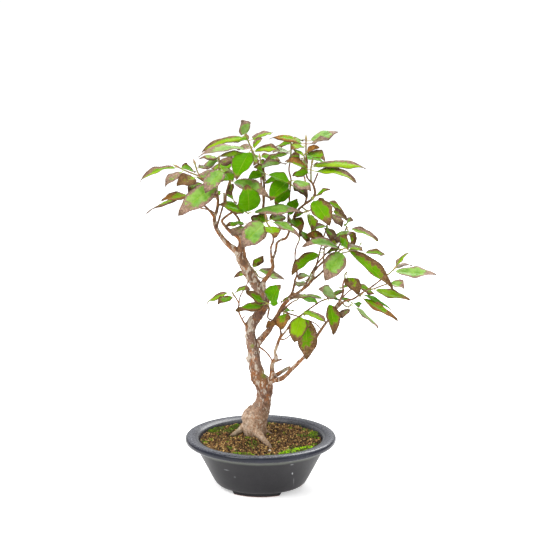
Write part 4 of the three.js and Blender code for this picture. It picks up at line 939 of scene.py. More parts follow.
# %% Loose grains
GRAIN_GAP, ROW_GAP = 1.75, 0.866
GRAIN_STRETCH, PEBBLE_STRETCH = (1, 0.8, 0.7), (1.1, 0.9, 0.75)
FULL_TURN = 6.28
SOIL_REACH = 60.2
GRAIN_COLOURS = [
    (0.050, 0.021, 0.007), (0.110, 0.053, 0.019), (0.190, 0.096, 0.032), (0.022, 0.009, 0.003),
    (0.340, 0.195, 0.068), (0.230, 0.112, 0.036), (0.520, 0.330, 0.115), (0.110, 0.080, 0.014),
]
GREEN_GRAIN = (0.105, 0.150, 0.012)


def surface_tree(piece):
    """The surface of a piece, for rays and nearest places."""
    mesh = piece.data
    return BVHTree.FromPolygons([v.co for v in mesh.vertices], [p.vertices for p in mesh.polygons])


bed = surface_tree(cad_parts["soil"])
wood_skin = surface_tree(old_wood)


def rest_on_bed(x, y):
    """Where something dropped at x, y from the pot's axis (mm) comes to rest, also over a hole in the bed."""
    above = Vector((x, y, 70)) * MM + POT_AXIS
    hit, _, _, _ = bed.ray_cast(above, Vector((0, 0, -1)))
    level = soil_height(x, y) * MM
    if hit is None or hit.z < level - 0.0016:
        hit = Vector((above.x, above.y, level - 0.0008))
    return hit


def one_grain(name, lumps, seed):
    """A faceted grain one unit across, made from an icosphere whose points are pushed in and out."""
    start_fresh()
    bpy.ops.mesh.primitive_ico_sphere_add(subdivisions=lumps, radius=0.5)
    grain = bpy.context.object
    grain.name = name
    push = seeded(seed)
    for vertex in grain.data.vertices:
        vertex.co *= 0.78 + 0.44 * push()
    return grain


def scatter(shape, spots, name):
    """One piece of many copies of a shape. A spot is (place, size, stretch, turn, colour)."""
    count = len(shape.data.vertices)
    base = np.array([tuple(vertex.co) for vertex in shape.data.vertices])
    faces = np.array([tuple(face.vertices) for face in shape.data.polygons])
    points, rows, tints = [], [], []
    for k, (place, size, stretch, turn, colour) in enumerate(spots):
        matrix = np.array(Euler(turn).to_matrix())
        points.append((base * size * MM * np.array(stretch)) @ matrix.T + np.array(tuple(place)))
        rows.append(faces + k * count)
        tints.append(np.tile((*colour, 1.0), (count, 1)))
    whole = bpy.data.meshes.new(name)
    whole.from_pydata(np.concatenate(points).tolist(), [], np.concatenate(rows).tolist())
    tint = whole.color_attributes.new("tint", "FLOAT_COLOR", "POINT")
    tint.data.foreach_set("color", np.concatenate(tints).ravel())
    bpy.data.objects.remove(shape)
    return in_scene(name, whole)


def grain_spots():
    """Spots for the grains: staggered rows, each grain a little off its place, none in the wood."""
    draw = seeded(301)
    spots = []
    rows = int(SOIL_REACH / (GRAIN_GAP * ROW_GAP)) + 1
    for row in range(-rows, rows + 1):
        for column in range(-rows, rows + 1):
            x = (column + 0.5 * (row % 2) + 0.8 * (draw() - 0.5)) * GRAIN_GAP
            y = (row * ROW_GAP + 0.7 * (draw() - 0.5)) * GRAIN_GAP
            pick_colour, size, lean = draw(), 1.3 + 1.5 * draw() ** 1.6, draw()
            turn = (FULL_TURN * draw(), FULL_TURN * draw(), FULL_TURN * draw())
            if math.hypot(x, y) > SOIL_REACH - 0.4 * size:
                continue
            place = rest_on_bed(x, y) + Vector((0, 0, (0.16 + 0.2 * lean) * size * MM))
            near, side, _, apart = wood_skin.find_nearest(place)
            if apart < 0.4 * size * MM or (place - near).dot(side) < 0:
                continue
            green = 0.5 + 0.5 * noise.noise(Vector((x, y, 0)) * 0.055 + Vector((3, 1, 7)))
            colour = GRAIN_COLOURS[int(pick_colour * len(GRAIN_COLOURS))]
            if green > 0.60 and lean > 0.66:
                colour = GREEN_GRAIN
            shade = 0.45 + 1.1 * draw()
            spots.append((place, size, GRAIN_STRETCH, turn, tuple(c * shade for c in colour)))
    return spots


grains = scatter(one_grain("grain", 1, 17), grain_spots(), "soil_grains")

# %% [markdown]
# Grit is dull and slightly dusty: the tint of each grain is varied once more by fine noise, and pitted.


# %% The grit's finish
def make_grit(name, speckle, tinted):
    """Fired grit, with the grains' own tints or with one dark colour for the bed."""
    finish = Finish(name)
    fine = finish.noise(1300, 4, 0.65)
    if tinted:
        colour = finish.add("ShaderNodeAttribute", attribute_name="tint").outputs["Color"]
    else:
        colour = finish.ramp(finish.noise(420, 4), [(0.3, (0.030, 0.015, 0.007)), (0.75, (0.10, 0.05, 0.02))])
    darker = finish.mix(0.6, colour, (0.02, 0.010, 0.005))
    colour = finish.mix(finish.span(fine, 0.35, 0.6, 0.8, 0), colour, darker)
    colour = finish.mix(finish.span(fine, 0.62, 0.78, 0, speckle), colour, (0.42, 0.30, 0.15))
    return finish.dress(colour, 0.88, finish.bump(fine, 0.5, 0.0004), 0.25)


grains.data.materials.append(make_grit("fired_grit", 0.35, True))
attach(grains, "root")
dressed(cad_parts["soil"], make_grit("soil_bed", 0.3, False))
print("grains", len(grains.data.polygons), "triangles")

# %% Pebbles among the grit
PEBBLES = [
    (9, -41, 2.6, (0.62, 0.58, 0.52)), (15, 22, 2.6, (0.55, 0.33, 0.07)),
    (-52, -10, 2.2, (0.50, 0.34, 0.12)), (-25, -38, 2.4, (0.62, 0.50, 0.24)),
    (27, -36, 2.0, (0.48, 0.36, 0.18)), (-40, -22, 1.8, (0.42, 0.18, 0.06)),
    (40, -10, 1.9, (0.46, 0.30, 0.10)), (-4, -50, 1.8, (0.40, 0.24, 0.09)),
    (30, 30, 2.2, (0.42, 0.26, 0.10)), (-30, 44, 2.3, (0.40, 0.30, 0.16)),
    (20, -14, 1.8, (0.44, 0.27, 0.09)), (-36, -38, 1.9, (0.52, 0.36, 0.13)),
    (48, -20, 1.8, (0.40, 0.15, 0.07)), (4, 50, 2.0, (0.36, 0.27, 0.14)),
    (-12, -28, 1.7, (0.50, 0.33, 0.10)),
]
pebble_spots = []
for k, (x, y, size, colour) in enumerate(PEBBLES):
    place = rest_on_bed(x, y) + Vector((0, 0, (0.9 + 0.25 * size) * MM))
    pebble_spots.append((place, size, PEBBLE_STRETCH, (0.2 * k, 0.1, 1.3 * k), colour))
pebble = one_grain("pebble", 3, 23)
pick(pebble)
harden(pebble, "SMOOTH", factor=0.6, iterations=3)
pebbles = scatter(pebble, pebble_spots, "pebbles")
pebbles.data.materials.append(make_grit("pebble_stone", 0.15, True))
bpy.ops.object.shade_smooth()
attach(pebbles, "root")
print(len(PEBBLES), "pebbles")

# %% [markdown]
# Moss grows as low cushions of tiny upright shoots. Each cushion starts as a sphere flattened to the size
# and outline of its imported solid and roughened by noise. Hundreds of little spikes, copies of one five-sided
# cone, stand on it and lean outwards. Smaller tufts of the same spikes grow between the grains.

# %% Moss cushions
MOSS = {
    "moss_front_right": ((33, -43), (21, 5), 38, 2.4, 1.7),
    "moss_right": ((53, 12), (9, 4.5), 82, 2.2, 0.7),
    "moss_left": ((-45, 30), (12, 4.5), 50, 1.8, 0.5),
    "moss_front_left": ((-17, -53), (10, 3.4), -14, 1.6, 0.8),
    "moss_trunk_back": ((-24, 36), (8, 5.5), -20, 3, 0.6),
}
MOSS_GROUND = (0.050, 0.060, 0.008, 1.0)
SPIKES_PER_AREA, SPIKE_TALL = 11, 1.05
MOSS_TINTS = [(0.17, 0.38, 0.002), (0.30, 0.58, 0.004), (0.05, 0.15, 0.002), (0.44, 0.64, 0.008)]


def moss_cushion(at, size, turn, thick, seed):
    """A flattened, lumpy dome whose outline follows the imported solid."""
    start_fresh()
    bpy.ops.mesh.primitive_ico_sphere_add(subdivisions=5, radius=1)
    dome = bpy.context.object
    draw = seeded(seed)
    lumps = [draw() * 2 * math.pi for _ in range(5)]
    for vertex in dome.data.vertices:
        x, y, z = vertex.co
        around = math.atan2(y, x)
        reach = 1 + 0.12 * math.sin(3 * around + lumps[0]) + 0.08 * math.sin(7 * around + lumps[1])
        lift = 1 + 0.22 * math.sin(6 * x + lumps[2]) * math.sin(5 * y + lumps[3])
        clump = 1 + 0.35 * noise.noise(Vector((x * size[0], y * size[1], 5 * seed)) * 0.55)
        vertex.co = Vector((x * size[0] * reach, y * size[1] * reach, z * thick * lift * clump)) * MM
    dome.rotation_euler.z = math.radians(turn)
    dome.location = on_soil(*at, 0.6)
    settle(dome)
    return dome


def moss_spike():
    """One moss shoot: a five-sided cone, a unit tall, with its foot at the origin."""
    start_fresh()
    bpy.ops.mesh.primitive_cone_add(vertices=5, radius1=0.34, radius2=0.02, depth=1, location=(0, 0, 0.5))
    spike = bpy.context.object
    settle(spike)
    bpy.ops.object.mode_set(mode="EDIT")
    bpy.ops.mesh.select_all(action="SELECT")
    bpy.ops.mesh.quads_convert_to_tris()
    bpy.ops.object.mode_set(mode="OBJECT")
    return spike


def spikes_on(dome, count, tall, bright, draw):
    """Spots for spikes that stand on the upper side of a dome."""
    faces = [face for face in dome.data.polygons if face.normal.z > 0.12]
    spots = []
    for _ in range(count):
        face = faces[int(draw() * len(faces))]
        if noise.noise(face.center * 330) < -0.10 - 0.2 * draw():
            continue
        lean = face.normal.copy()
        lean += Vector((draw() - 0.5, draw() - 0.5, 0.35)) * 1.1
        turn = lean.to_track_quat("Z", "Y").to_euler()
        height = tall * (0.6 + 0.8 * draw())
        tint = MOSS_TINTS[int(draw() * len(MOSS_TINTS))]
        shade = bright * (0.65 + 0.7 * draw())
        spots.append((face.center, height, (0.9, 0.9, 1), tuple(turn), tuple(c * shade for c in tint)))
    return spots


def make_moss(name):
    """Moss with the spikes' own tints, browner in patches."""
    finish = Finish(name)
    fine = finish.noise(1600, 4, 0.6)
    tint = finish.add("ShaderNodeAttribute", attribute_name="tint").outputs["Color"]
    patch = finish.noise(260, 3)
    colour = finish.mix(finish.span(patch, 0.46, 0.56, 0, 0.8), tint, (0.075, 0.058, 0.012))
    colour = finish.mix(finish.span(fine, 0.3, 0.55, 0.7, 0), colour, (0.02, 0.045, 0.004))
    return finish.dress(colour, 0.8, finish.bump(fine, 0.5, 0.0004), 0.25)


moss_finish = make_moss("green_moss")
for k, (name, (at, size, turn, thick, bright)) in enumerate(MOSS.items()):
    dome = moss_cushion(at, size, turn, thick, 7 + k)
    count = int(size[0] * size[1] * SPIKES_PER_AREA)
    spots = spikes_on(dome, count, SPIKE_TALL, bright, seeded(60 + k))
    tint = dome.data.color_attributes.new("tint", "FLOAT_COLOR", "POINT")
    tint.data.foreach_set("color", [c for _ in dome.data.vertices for c in MOSS_GROUND])
    cushion = merge([dome, scatter(moss_spike(), spots, "spikes")], name + "_cushion")
    hand_over(dressed(cushion, moss_finish), [name], angle=40)

# %% Moss tufts between the grains
TUFTS = [
    (-50, -4, 4, 8), (-54, -14, 3, 8), (-42, 16, 3, 5), (-13, -6, 3, 9), (-33, -14, 2, 3), (-12, -50, 4, 8),
    (-30, -30, 2, 3), (48, -28, 4, 14), (53, -20, 3, 10), (56, 2, 3, 8), (20, -54, 4, 14), (30, 36, 3, 5),
    (-8, 46, 3, 8), (-30, 34, 4, 12), (6, 8, 3, 10), (40, 8, 2, 3), (24, 20, 2, 3), (-26, -48, 3, 6),
]
tuft_draw = seeded(90)
tuft_spots = []
for x, y, reach, count in TUFTS:
    for _ in range(count * 4):
        angle, away = 2 * math.pi * tuft_draw(), reach * tuft_draw() ** 0.7
        spot_x, spot_y = x + away * math.cos(angle), y + away * math.sin(angle)
        turn = (0.7 * (tuft_draw() - 0.5), 0.7 * (tuft_draw() - 0.5), FULL_TURN * tuft_draw())
        tint = tuple(c * (0.6 + 0.6 * tuft_draw()) for c in MOSS_TINTS[int(tuft_draw() * 4)])
        tall = 1.1 + 0.9 * tuft_draw()
        if math.hypot(spot_x, spot_y) > SOIL_REACH - 0.8:
            continue
        place = rest_on_bed(spot_x, spot_y) + Vector((0, 0, 0.35 * MM))
        if wood_skin.find_nearest(place)[3] < 0.7 * MM:
            continue
        tuft_spots.append((place, tall, (0.8, 0.8, 1), turn, tint))
tufts = scatter(moss_spike(), tuft_spots, "moss_tufts")
tufts.data.materials.append(moss_finish)
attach(tufts, "root")
print("tufts", len(tufts.data.polygons), "triangles")

# %% [markdown]
# The leafy shoots follow. A row gives the branch that carries the shoot and how far along it (1 is its end),
# the places of its own stem, whether it ends in a bud, and its leaves. A leaf has its petiole's foot, its
# tip, its width, the share of its upper face that shows from the front, its arch, and its colouring: c clean
# deep green, g green, b brown at the edge, p pale with painted sheen and a mauve edge, s pale with painted
# sheen, w palest with painted sheen, y yellow painted as lit from behind, a mauve on its far half and painted
# as lit from behind on its near half, e the same but rust, o orange at the tip, t dried tan, v olive, n netted
# olive brown, d dark brown, m mauve brown, r russet all over. Several other tones carry some painted backlight
# too.

# %% The shoots and their leaves
SHOOTS = {
    "left_tip": ("left_outer", 1, [(-70, 311, -5), (-77, 314, -5), (-83, 317, -5)], True, [
        ((-84, 317, -6), (-122, 303, -14), 15, 0.35, 0.09, "a"),
        ((-78, 313, -8), (-96, 298, -24), 13, 0.6, 0.05, "t"),
        ((-80, 316, -2), (-66, 312, 20), 11, 0.45, 0.05, "g"),
    ]),
    "left_bud": ("left_outer", 0.72, [(-63, 311, 7), (-66, 320, 10)], True, [
        ((-64, 316, 10), (-52, 316, 20), 9, 0.4, 0.05, "t"),
    ]),
    "left_olive": ("left_outer", 0.55, [(-58, 303, -13), (-64, 307, -20)], False, [
        ((-65, 307, -20), (-84, 299, -38), 15, 0.85, 0.05, "n"),
        ((-57, 301, -14), (-72, 288, -30), 16, 0.75, 0.05, "v"),
        ((-62, 306, -18), (-47, 314, -8), 12, 0.6, 0.05, "t"),
    ]),
    "left_low": ("left_low", 1, [(-68, 288, -12), (-73, 289, -12)], False, [
        ((-71, 289, -14), (-100, 284, -24), 15, 0.5, 0.02, "o"),
        ((-75, 288, -10), (-116, 271, -2), 12, 0.2, 0.03, "v"),
    ]),
    "left_front": ("left_main", 0.8, [(-44, 296, -12), (-42, 305, -20), (-39, 313, -22)], False, [
        ((-44, 300, -24), (-83, 269, -46), 21, 0.9, 0.03, "p"),
        ((-38, 314, -24), (-56, 292, -42), 18, 0.85, 0.05, "p"),
    ]),
    "left_top": ("left_main", 1, [(-42, 318, 20), (-42, 324, 23)], True, [
        ((-42, 323, 22), (-58, 317, 36), 15, 0.6, 0.05, "p"),
        ((-41, 326, 24), (-62, 326, 16), 12, 0.3, 0.05, "v"),
        ((-42, 319, 21), (-25, 326, 34), 16, 0.5, 0.05, "m"),
        ((-41, 317, 17), (-28, 303, 4), 15, 0.75, 0.05, "v"),
    ]),
    "left_inner": ("left_inner", 1, [(-31, 300, -13), (-30, 304, -14)], False, [
        ((-30, 302, -14), (-37, 312, 4), 16, 0.9, 0.05, "g"),
        ((-29, 303, -15), (9, 287, -25), 17, 0.75, 0.05, "p"),
        ((-30, 301, -16), (-30, 289, -32), 10, 0.7, 0.05, "d"),
    ]),
    "front_left": ("left_cross", 1, [(-17, 273, -17), (-12, 270, -18)], False, [
        ((-12, 271, -19), (-14, 299, -39), 23, 0.95, 0.05, "c"),
        ((-15, 272, -17), (-42, 280, -32), 16, 0.55, 0.05, "g"),
        ((-9, 272, -18), (42, 273, -26), 17, 0.5, 0.05, "p"),
    ]),
    "front_centre": ("front_centre", 1, [(6, 261, -28), (5, 266, -29)], True, [
        ((4, 262, -30), (-19, 238, -46), 22, 0.98, 0.05, "p"),
        ((9, 258, -31), (14, 247, -56), 16, 0.9, 0.05, "y"),
        ((7, 261, -26), (-10, 268, -12), 15, 0.75, 0.05, "d"),
        ((10, 263, -29), (40, 247, -34), 15, 0.45, 0.05, "p"),
        ((8, 264, -26), (25, 268, -10), 13, 0.6, 0.05, "v"),
    ]),
    "leader_low": ("leader", 0.27, [(-12, 250, -12), (-14, 260, -15)], False, [
        ((-15, 261, -14), (-36, 258, -22), 12, 0.35, 0.05, "g"),
        ((-16, 258, -17), (-29, 249, -36), 14, 0.7, 0.05, "t"),
    ]),
    "upright_tip": ("thin_upright", 1, [(39, 249, 8), (38, 255, 4)], False, [
        ((39, 255, 2), (48, 240, -12), 12, 0.6, 0.05, "b"),
    ]),
    "apex": ("leader", 1, [(-9, 334, 2), (-12, 341, 4), (-15, 348, 5)], True, [
        ((-14, 350, 6), (-19, 363, -12), 14, 0.9, 0.05, "s"),
        ((-17, 347, 4), (-60, 333, 0), 15, 0.4, 0.08, "a"),
        ((-10, 344, 8), (12, 352, 24), 13, 0.4, 0.05, "a"),
        ((-13, 344, 8), (-26, 343, 30), 14, 0.4, 0.05, "g"),
    ]),
    "apex_front": ("leader", 0.93, [(-6, 326, -7), (-9, 333, -10), (-10, 338, -12)], False, [
        ((-11, 337, -12), (-24, 336, 4), 11, 0.4, 0.05, "t"),
        ((-9, 336, -13), (1, 346, -22), 9, 0.6, 0.05, "a"),
        ((-14, 335, -12), (-63, 328, -22), 15, 0.4, 0.08, "s"),
        ((-8, 333, -11), (19, 334, -20), 15, 0.45, 0.12, "a"),
        ((-11, 333, -14), (-25, 305, -34), 20, 0.9, 0.05, "c"),
        ((-8, 330, -11), (-7, 319, -31), 9, 0.6, 0.05, "y"),
        ((-10, 328, -6), (-45, 327, 4), 12, 0.4, 0.05, "y"),
    ]),
    "crown_right": ("crown_right", 1, [(45, 335, 17), (45, 344, 20)], True, [
        ((43, 340, 20), (8, 346, 30), 13, 0.4, 0.1, "o"),
        ((48, 343, 22), (77, 353, 32), 15, 0.55, 0.05, "s"),
        ((48, 340, 18), (67, 345, 2), 12, 0.35, 0.05, "t"),
        ((43, 338, 16), (30, 335, 2), 11, 0.6, 0.05, "y"),
    ]),
    "crown_centre": ("crown_centre", 1, [(30, 332, 31), (30, 341, 36)], False, [
        ((29, 340, 37), (16, 338, 58), 13, 0.4, 0.05, "b"),
        ((28, 333, 31), (12, 332, 12), 13, 0.5, 0.05, "w"),
        ((31, 341, 38), (42, 344, 62), 13, 0.4, 0.05, "g"),
        ((28, 331, 30), (2, 321, 34), 13, 0.4, 0.05, "a"),
    ]),
    "crown_small": ("crown_right", 0.66, [(44, 323, 1), (43, 329, -3)], False, [
        ((42, 328, -2), (33, 335, 14), 8, 0.4, 0.05, "y"),
        ((44, 330, -5), (64, 324, -20), 15, 0.5, 0.05, "g"),
        ((44, 331, -3), (58, 337, -12), 9, 0.6, 0.05, "r"),
    ]),
    "right_long": ("upper_right", 1, [(50, 309, -4), (50, 316, -6), (51, 321, -7)], True, [
        ((52, 319, -7), (105, 317, -16), 16, 0.4, 0.06, "a"),
        ((53, 313, -8), (96, 303, -26), 16, 0.45, 0.11, "a"),
        ((52, 317, -3), (66, 317, 16), 9, 0.4, 0.05, "b"),
        ((48, 314, -6), (24, 323, -18), 14, 0.45, 0.05, "e"),
        ((49, 311, -4), (31, 309, 6), 13, 0.6, 0.05, "g"),
    ]),
    "crown_inner": ("crown_centre", 0.5, [(29, 297, 0), (30, 303, -8)], False, [
        ((32, 304, -10), (50, 294, -28), 14, 0.65, 0.05, "p"),
        ((31, 298, -4), (47, 291, 10), 14, 0.75, 0.05, "d"),
        ((27, 303, -9), (9, 284, -24), 17, 0.85, 0.05, "c"),
        ((29, 297, -3), (14, 279, -10), 16, 0.8, 0.05, "c"),
        ((31, 299, -4), (47, 287, -12), 13, 0.5, 0.05, "d"),
        ((28, 303, -5), (2, 300, 4), 13, 0.45, 0.05, "c"),
    ]),
    "leader_mid": ("leader", 0.76, [(0, 308, 8), (-3, 314, 11)], False, [
        ((-2, 315, 12), (24, 321, 26), 12, 0.45, 0.05, "s"),
        ((-4, 316, 12), (5, 304, 28), 13, 0.5, 0.05, "d"),
    ]),
    "leader_front": ("leader", 0.74, [(4, 307, -8), (4, 311, -11)], False, [
        ((5, 310, -12), (30, 299, -22), 15, 0.5, 0.05, "c"),
        ((3, 311, -12), (-7, 317, -22), 10, 0.6, 0.05, "g"),
        ((3, 309, -8), (-14, 304, 4), 13, 0.6, 0.05, "c"),
    ]),
    "right_big": ("upper_right", 0.83, [(51, 287, -9), (51, 286, -18)], False, [
        ((52, 285, -20), (69, 259, -36), 19, 0.95, 0.05, "g"),
        ((53, 287, -18), (69, 295, -30), 9, 0.4, 0.05, "b"),
    ]),
    "right_mid": ("upper_right", 0.76, [(45, 274, -5), (48, 273, -8)], False, [
        ((48, 272, -9), (51, 254, -22), 14, 0.5, 0.05, "y"),
        ((44, 272, -7), (33, 265, -12), 11, 0.4, 0.05, "b"),
        ((46, 271, -6), (51, 243, 10), 13, 0.5, 0.05, "y"),
    ]),
    "right_spur": ("upper_right", 0.64, [(29, 263, -4), (28, 267, -6)], False, [
        ((29, 266, -6), (41, 253, -24), 15, 0.8, 0.05, "b"),
        ((28, 267, -5), (36, 286, 4), 14, 0.75, 0.05, "c"),
    ]),
    "far_upper": ("far_upper", 1, [(84, 253, 12), (86, 258, 13)], False, [
        ((88, 256, 13), (118, 243, 6), 14, 0.4, 0.04, "a"),
        ((84, 258, 14), (92, 264, -4), 10, 0.3, 0.05, "s"),
        ((87, 254, 10), (76, 242, -14), 16, 0.6, 0.05, "v"),
        ((87, 255, 16), (91, 237, 12), 14, 0.5, 0.05, "n"),
    ]),
    "far_inner": ("far_inner", 1, [(69, 270, 16), (70, 274, 17)], True, [
        ((71, 273, 18), (87, 263, 32), 13, 0.5, 0.05, "d"),
        ((70, 271, 14), (81, 257, 0), 12, 0.65, 0.05, "m"),
        ((69, 274, 16), (58, 278, -2), 12, 0.4, 0.05, "t"),
    ]),
    "far_brown": ("far_inner", 0.8, [(67, 256, 4), (66, 258, -1)], False, [
        ((66, 257, -2), (70, 244, -20), 14, 0.7, 0.05, "d"),
        ((66, 258, 0), (51, 254, -18), 13, 0.45, 0.05, "a"),
    ]),
    "right_front": ("first_right", 1, [(80, 234, -15), (84, 236, -16)], False, [
        ((80, 235, -17), (41, 238, -36), 16, 0.5, 0.12, "p"),
        ((84, 237, -16), (85, 249, -38), 15, 0.7, 0.05, "g"),
        ((82, 233, -18), (64, 204, -36), 21, 0.98, 0.05, "p"),
        ((87, 234, -17), (134, 194, -32), 17, 0.68, 0.02, "b"),
        ((85, 236, -13), (101, 236, 10), 11, 0.3, 0.05, "t"),
        ((80, 235, -13), (64, 230, 2), 12, 0.4, 0.05, "d"),
        ((86, 235, -16), (102, 234, -26), 8, 0.35, 0.05, "y"),
    ]),
    "right_orange": ("first_right", 0.87, [(63, 231, -9), (64, 240, -8)], False, [
        ((65, 241, -9), (46, 250, -18), 14, 0.75, 0.05, "r"),
        ((59, 231, -12), (30, 210, -31), 16, 0.65, 0.05, "g"),
    ]),
    "right_low": ("first_right", 0.66, [(50, 209, -14), (50, 211, -17)], False, [
        ((50, 209, -17), (37, 205, -32), 12, 0.5, 0.05, "v"),
    ]),
    "far_right_up": ("far_upper", 0.6, [(82, 231, 15), (93, 233, 20), (101, 231, 24)], False, [
        ((103, 231, 24), (127, 229, 34), 13, 0.4, 0.05, "b"),
        ((96, 233, 22), (98, 237, 44), 13, 0.4, 0.05, "g"),
    ]),
    "far_right": ("low_outer", 1, [(129, 211, 2), (133, 215, 4)], True, [
        ((132, 213, 4), (176, 211, -6), 17, 0.55, -0.03, "p"),
        ((134, 217, 6), (148, 232, 16), 10, 0.4, 0.05, "a"),
        ((134, 216, 7), (151, 219, 28), 11, 0.3, 0.05, "t"),
    ]),
    "far_low": ("low_outer", 0.62, [(112, 195, -12), (120, 198, -14), (126, 200, -14)], False, [
        ((112, 195, -15), (150, 185, -26), 15, 0.5, -0.02, "y"),
        ((128, 201, -14), (143, 196, -30), 14, 0.6, 0.05, "p"),
    ]),
    "low_pointed": ("low_outer", 0.45, [(98, 188, -14), (100, 188, -20)], False, [
        ((100, 187, -22), (138, 164, -34), 15, 0.45, -0.01, "o"),
        ((101, 190, -21), (132, 174, -12), 12, 0.3, 0.02, "c"),
    ]),
    "low_brown": ("low_branch", 1, [(84, 210, -15), (86, 212, -17)], False, [
        ((86, 208, -18), (98, 190, -36), 15, 0.85, 0.05, "n"),
    ]),
    "low_centre": ("second_fork", 1, [(63, 184, -14), (69, 186, -14), (75, 187, -13)], False, [
        ((75, 188, -14), (58, 195, -28), 14, 0.8, 0.05, "w"),
        ((63, 186, -15), (29, 186, -26), 13, 0.3, 0.05, "v"),
        ((69, 186, -11), (78, 184, 10), 10, 0.35, 0.05, "c"),
        ((68, 182, -16), (73, 149, -26), 16, 0.8, 0.05, "b"),
        ((72, 187, -11), (83, 195, 8), 10, 0.45, 0.05, "b"),
    ]),
    "low_small": ("low_branch", 0.8, [(86, 177, -3), (90, 179, 1)], False, [
        ((88, 181, 2), (80, 187, 14), 10, 0.5, 0.05, "g"),
        ((92, 181, 2), (98, 177, -16), 10, 0.5, 0.05, "c"),
        ((88, 176, -1), (81, 166, -18), 13, 0.6, 0.05, "t"),
        ((93, 178, 3), (119, 156, 10), 12, 0.3, -0.01, "w"),
    ]),
    "hanging": ("second_fork", 0.6, [(43, 169, -20), (45, 171, -24)], False, [
        ((42, 173, -22), (65, 163, -36), 14, 0.45, 0.05, "a"),
        ((41, 169, -22), (33, 142, -34), 18, 0.95, 0.05, "y"),
        ((44, 167, -21), (46, 124, -28), 20, 0.95, 0.05, "b"),
    ]),
    "trunk_left": ("trunk_spur", 1, [(-28, 190, -10), (-29, 192, -11)], False, [
        ((-31, 192, -11), (-55, 181, -6), 13, 0.35, 0.05, "a"),
        ((-28, 188, -13), (-43, 180, -30), 12, 0.6, 0, "b"),
        ((-27, 191, -10), (-11, 195, -24), 11, 0.4, 0.05, "v"),
    ]),
    "trunk_front": ("dark_stub", 0.3, [(7, 180, -10), (6, 181, -18)], False, [
        ((5, 180, -20), (-26, 174, -28), 16, 0.5, 0, "b"),
        ((4, 182, -19), (-15, 193, -34), 14, 0.6, -0.05, "b"),
        ((9, 180, -20), (19, 199, -38), 18, 0.85, 0.05, "c"),
    ]),
    "second_tip": ("second_right", 1, [(20, 160, -8), (22, 168, -12), (23, 173, -14)], False, [
        ((24, 172, -14), (20, 155, -30), 16, 0.8, 0.05, "o"),
        ((21, 161, -11), (5, 157, -24), 12, 0.45, 0.05, "r"),
        ((24, 172, -12), (32, 173, 4), 9, 0.3, 0.05, "g"),
    ]),
    "upright_low": ("thin_upright", 0.35, [(40, 200, 15), (45, 201, 20)], False, [
        ((46, 200, 19), (33, 200, 25), 12, 0.4, 0.05, "w"),
        ((47, 202, 21), (53, 206, 40), 12, 0.4, 0.05, "w"),
    ]),
    "upper_back": ("upper_right", 0.08, [(-2, 207, 16), (-6, 213, 20)], False, [
        ((-8, 215, 21), (2, 229, 32), 13, 0.6, 0.05, "n"),
        ((-4, 214, 22), (25, 205, 32), 15, 0.5, -0.03, "v"),
        ((-8, 212, 18), (-28, 206, 14), 8, 0.6, 0.05, "v"),
    ]),
    "back_left": ("left_back", 1, [(-28, 312, 44), (-27, 318, 48)], False, [
        ((-28, 318, 48), (-50, 316, 62), 15, 0.4, 0.05, "g"),
        ((-26, 319, 49), (-10, 322, 72), 15, 0.4, 0.05, "c"),
        ((-29, 314, 46), (-38, 304, 66), 15, 0.5, 0.05, "b"),
    ]),
    "back_left_low": ("left_back", 0.5, [(-37, 287, 28), (-37, 291, 32)], False, [
        ((-39, 291, 32), (-60, 286, 48), 15, 0.4, 0.05, "g"),
        ((-36, 290, 34), (-26, 282, 56), 15, 0.4, 0.05, "b"),
    ]),
    "back_leader": ("leader_back", 1, [(0, 320, 50), (-1, 326, 54)], True, [
        ((-2, 326, 55), (-22, 329, 74), 15, 0.4, 0.05, "g"),
        ((0, 327, 56), (20, 324, 76), 15, 0.4, 0.05, "b"),
        ((-1, 322, 53), (0, 312, 78), 15, 0.5, 0.05, "g"),
    ]),
    "back_right": ("crown_right_back", 1, [(41, 321, 48), (41, 326, 52)], False, [
        ((40, 326, 53), (24, 320, 74), 15, 0.4, 0.05, "g"),
        ((43, 326, 53), (64, 322, 70), 15, 0.4, 0.05, "c"),
        ((42, 323, 50), (44, 313, 74), 15, 0.4, 0.05, "b"),
    ]),
    "back_far": ("right_back", 1, [(63, 280, 42), (65, 282, 47)], False, [
        ((65, 282, 48), (54, 272, 70), 15, 0.4, 0.05, "g"),
        ((67, 282, 47), (84, 270, 60), 15, 0.4, 0.05, "b"),
    ]),
    "back_low": ("low_back", 1, [(74, 238, 45), (76, 240, 50)], False, [
        ((76, 240, 51), (62, 235, 74), 15, 0.4, 0.05, "b"),
        ((78, 240, 50), (98, 232, 66), 15, 0.4, 0.05, "g"),
    ]),
    "back_outer": ("low_far_back", 1, [(91, 195, 33), (93, 198, 38)], False, [
        ((93, 198, 39), (80, 196, 60), 15, 0.4, 0.05, "g"),
        ((95, 198, 38), (114, 190, 54), 15, 0.4, 0.05, "b"),
    ]),
    "back_inner": ("inner_back", 1, [(36, 184, 35), (38, 186, 40)], False, [
        ((37, 186, 41), (20, 182, 58), 15, 0.4, 0.05, "g"),
        ((40, 186, 41), (58, 180, 56), 15, 0.4, 0.05, "c"),
    ]),
}
print(sum(len(leaves) for *_, leaves in SHOOTS.values()), "leaves on", len(SHOOTS), "shoots")

# %% [markdown]
# A stewartia blade is pointed at both ends, finely toothed, folded along its midrib and arched towards a
# drawn-out tip that often curls. One flat blade is made first: a grid, two of its rows to a tooth, narrowed
# columns beside the midrib, and a Solidify for its thickness. Each leaf is a copy of that blade whose points
# are sent to their places on its own folded, waved and toothed surface. The midrib stands out below, and the
# blade swells a little between its side veins.

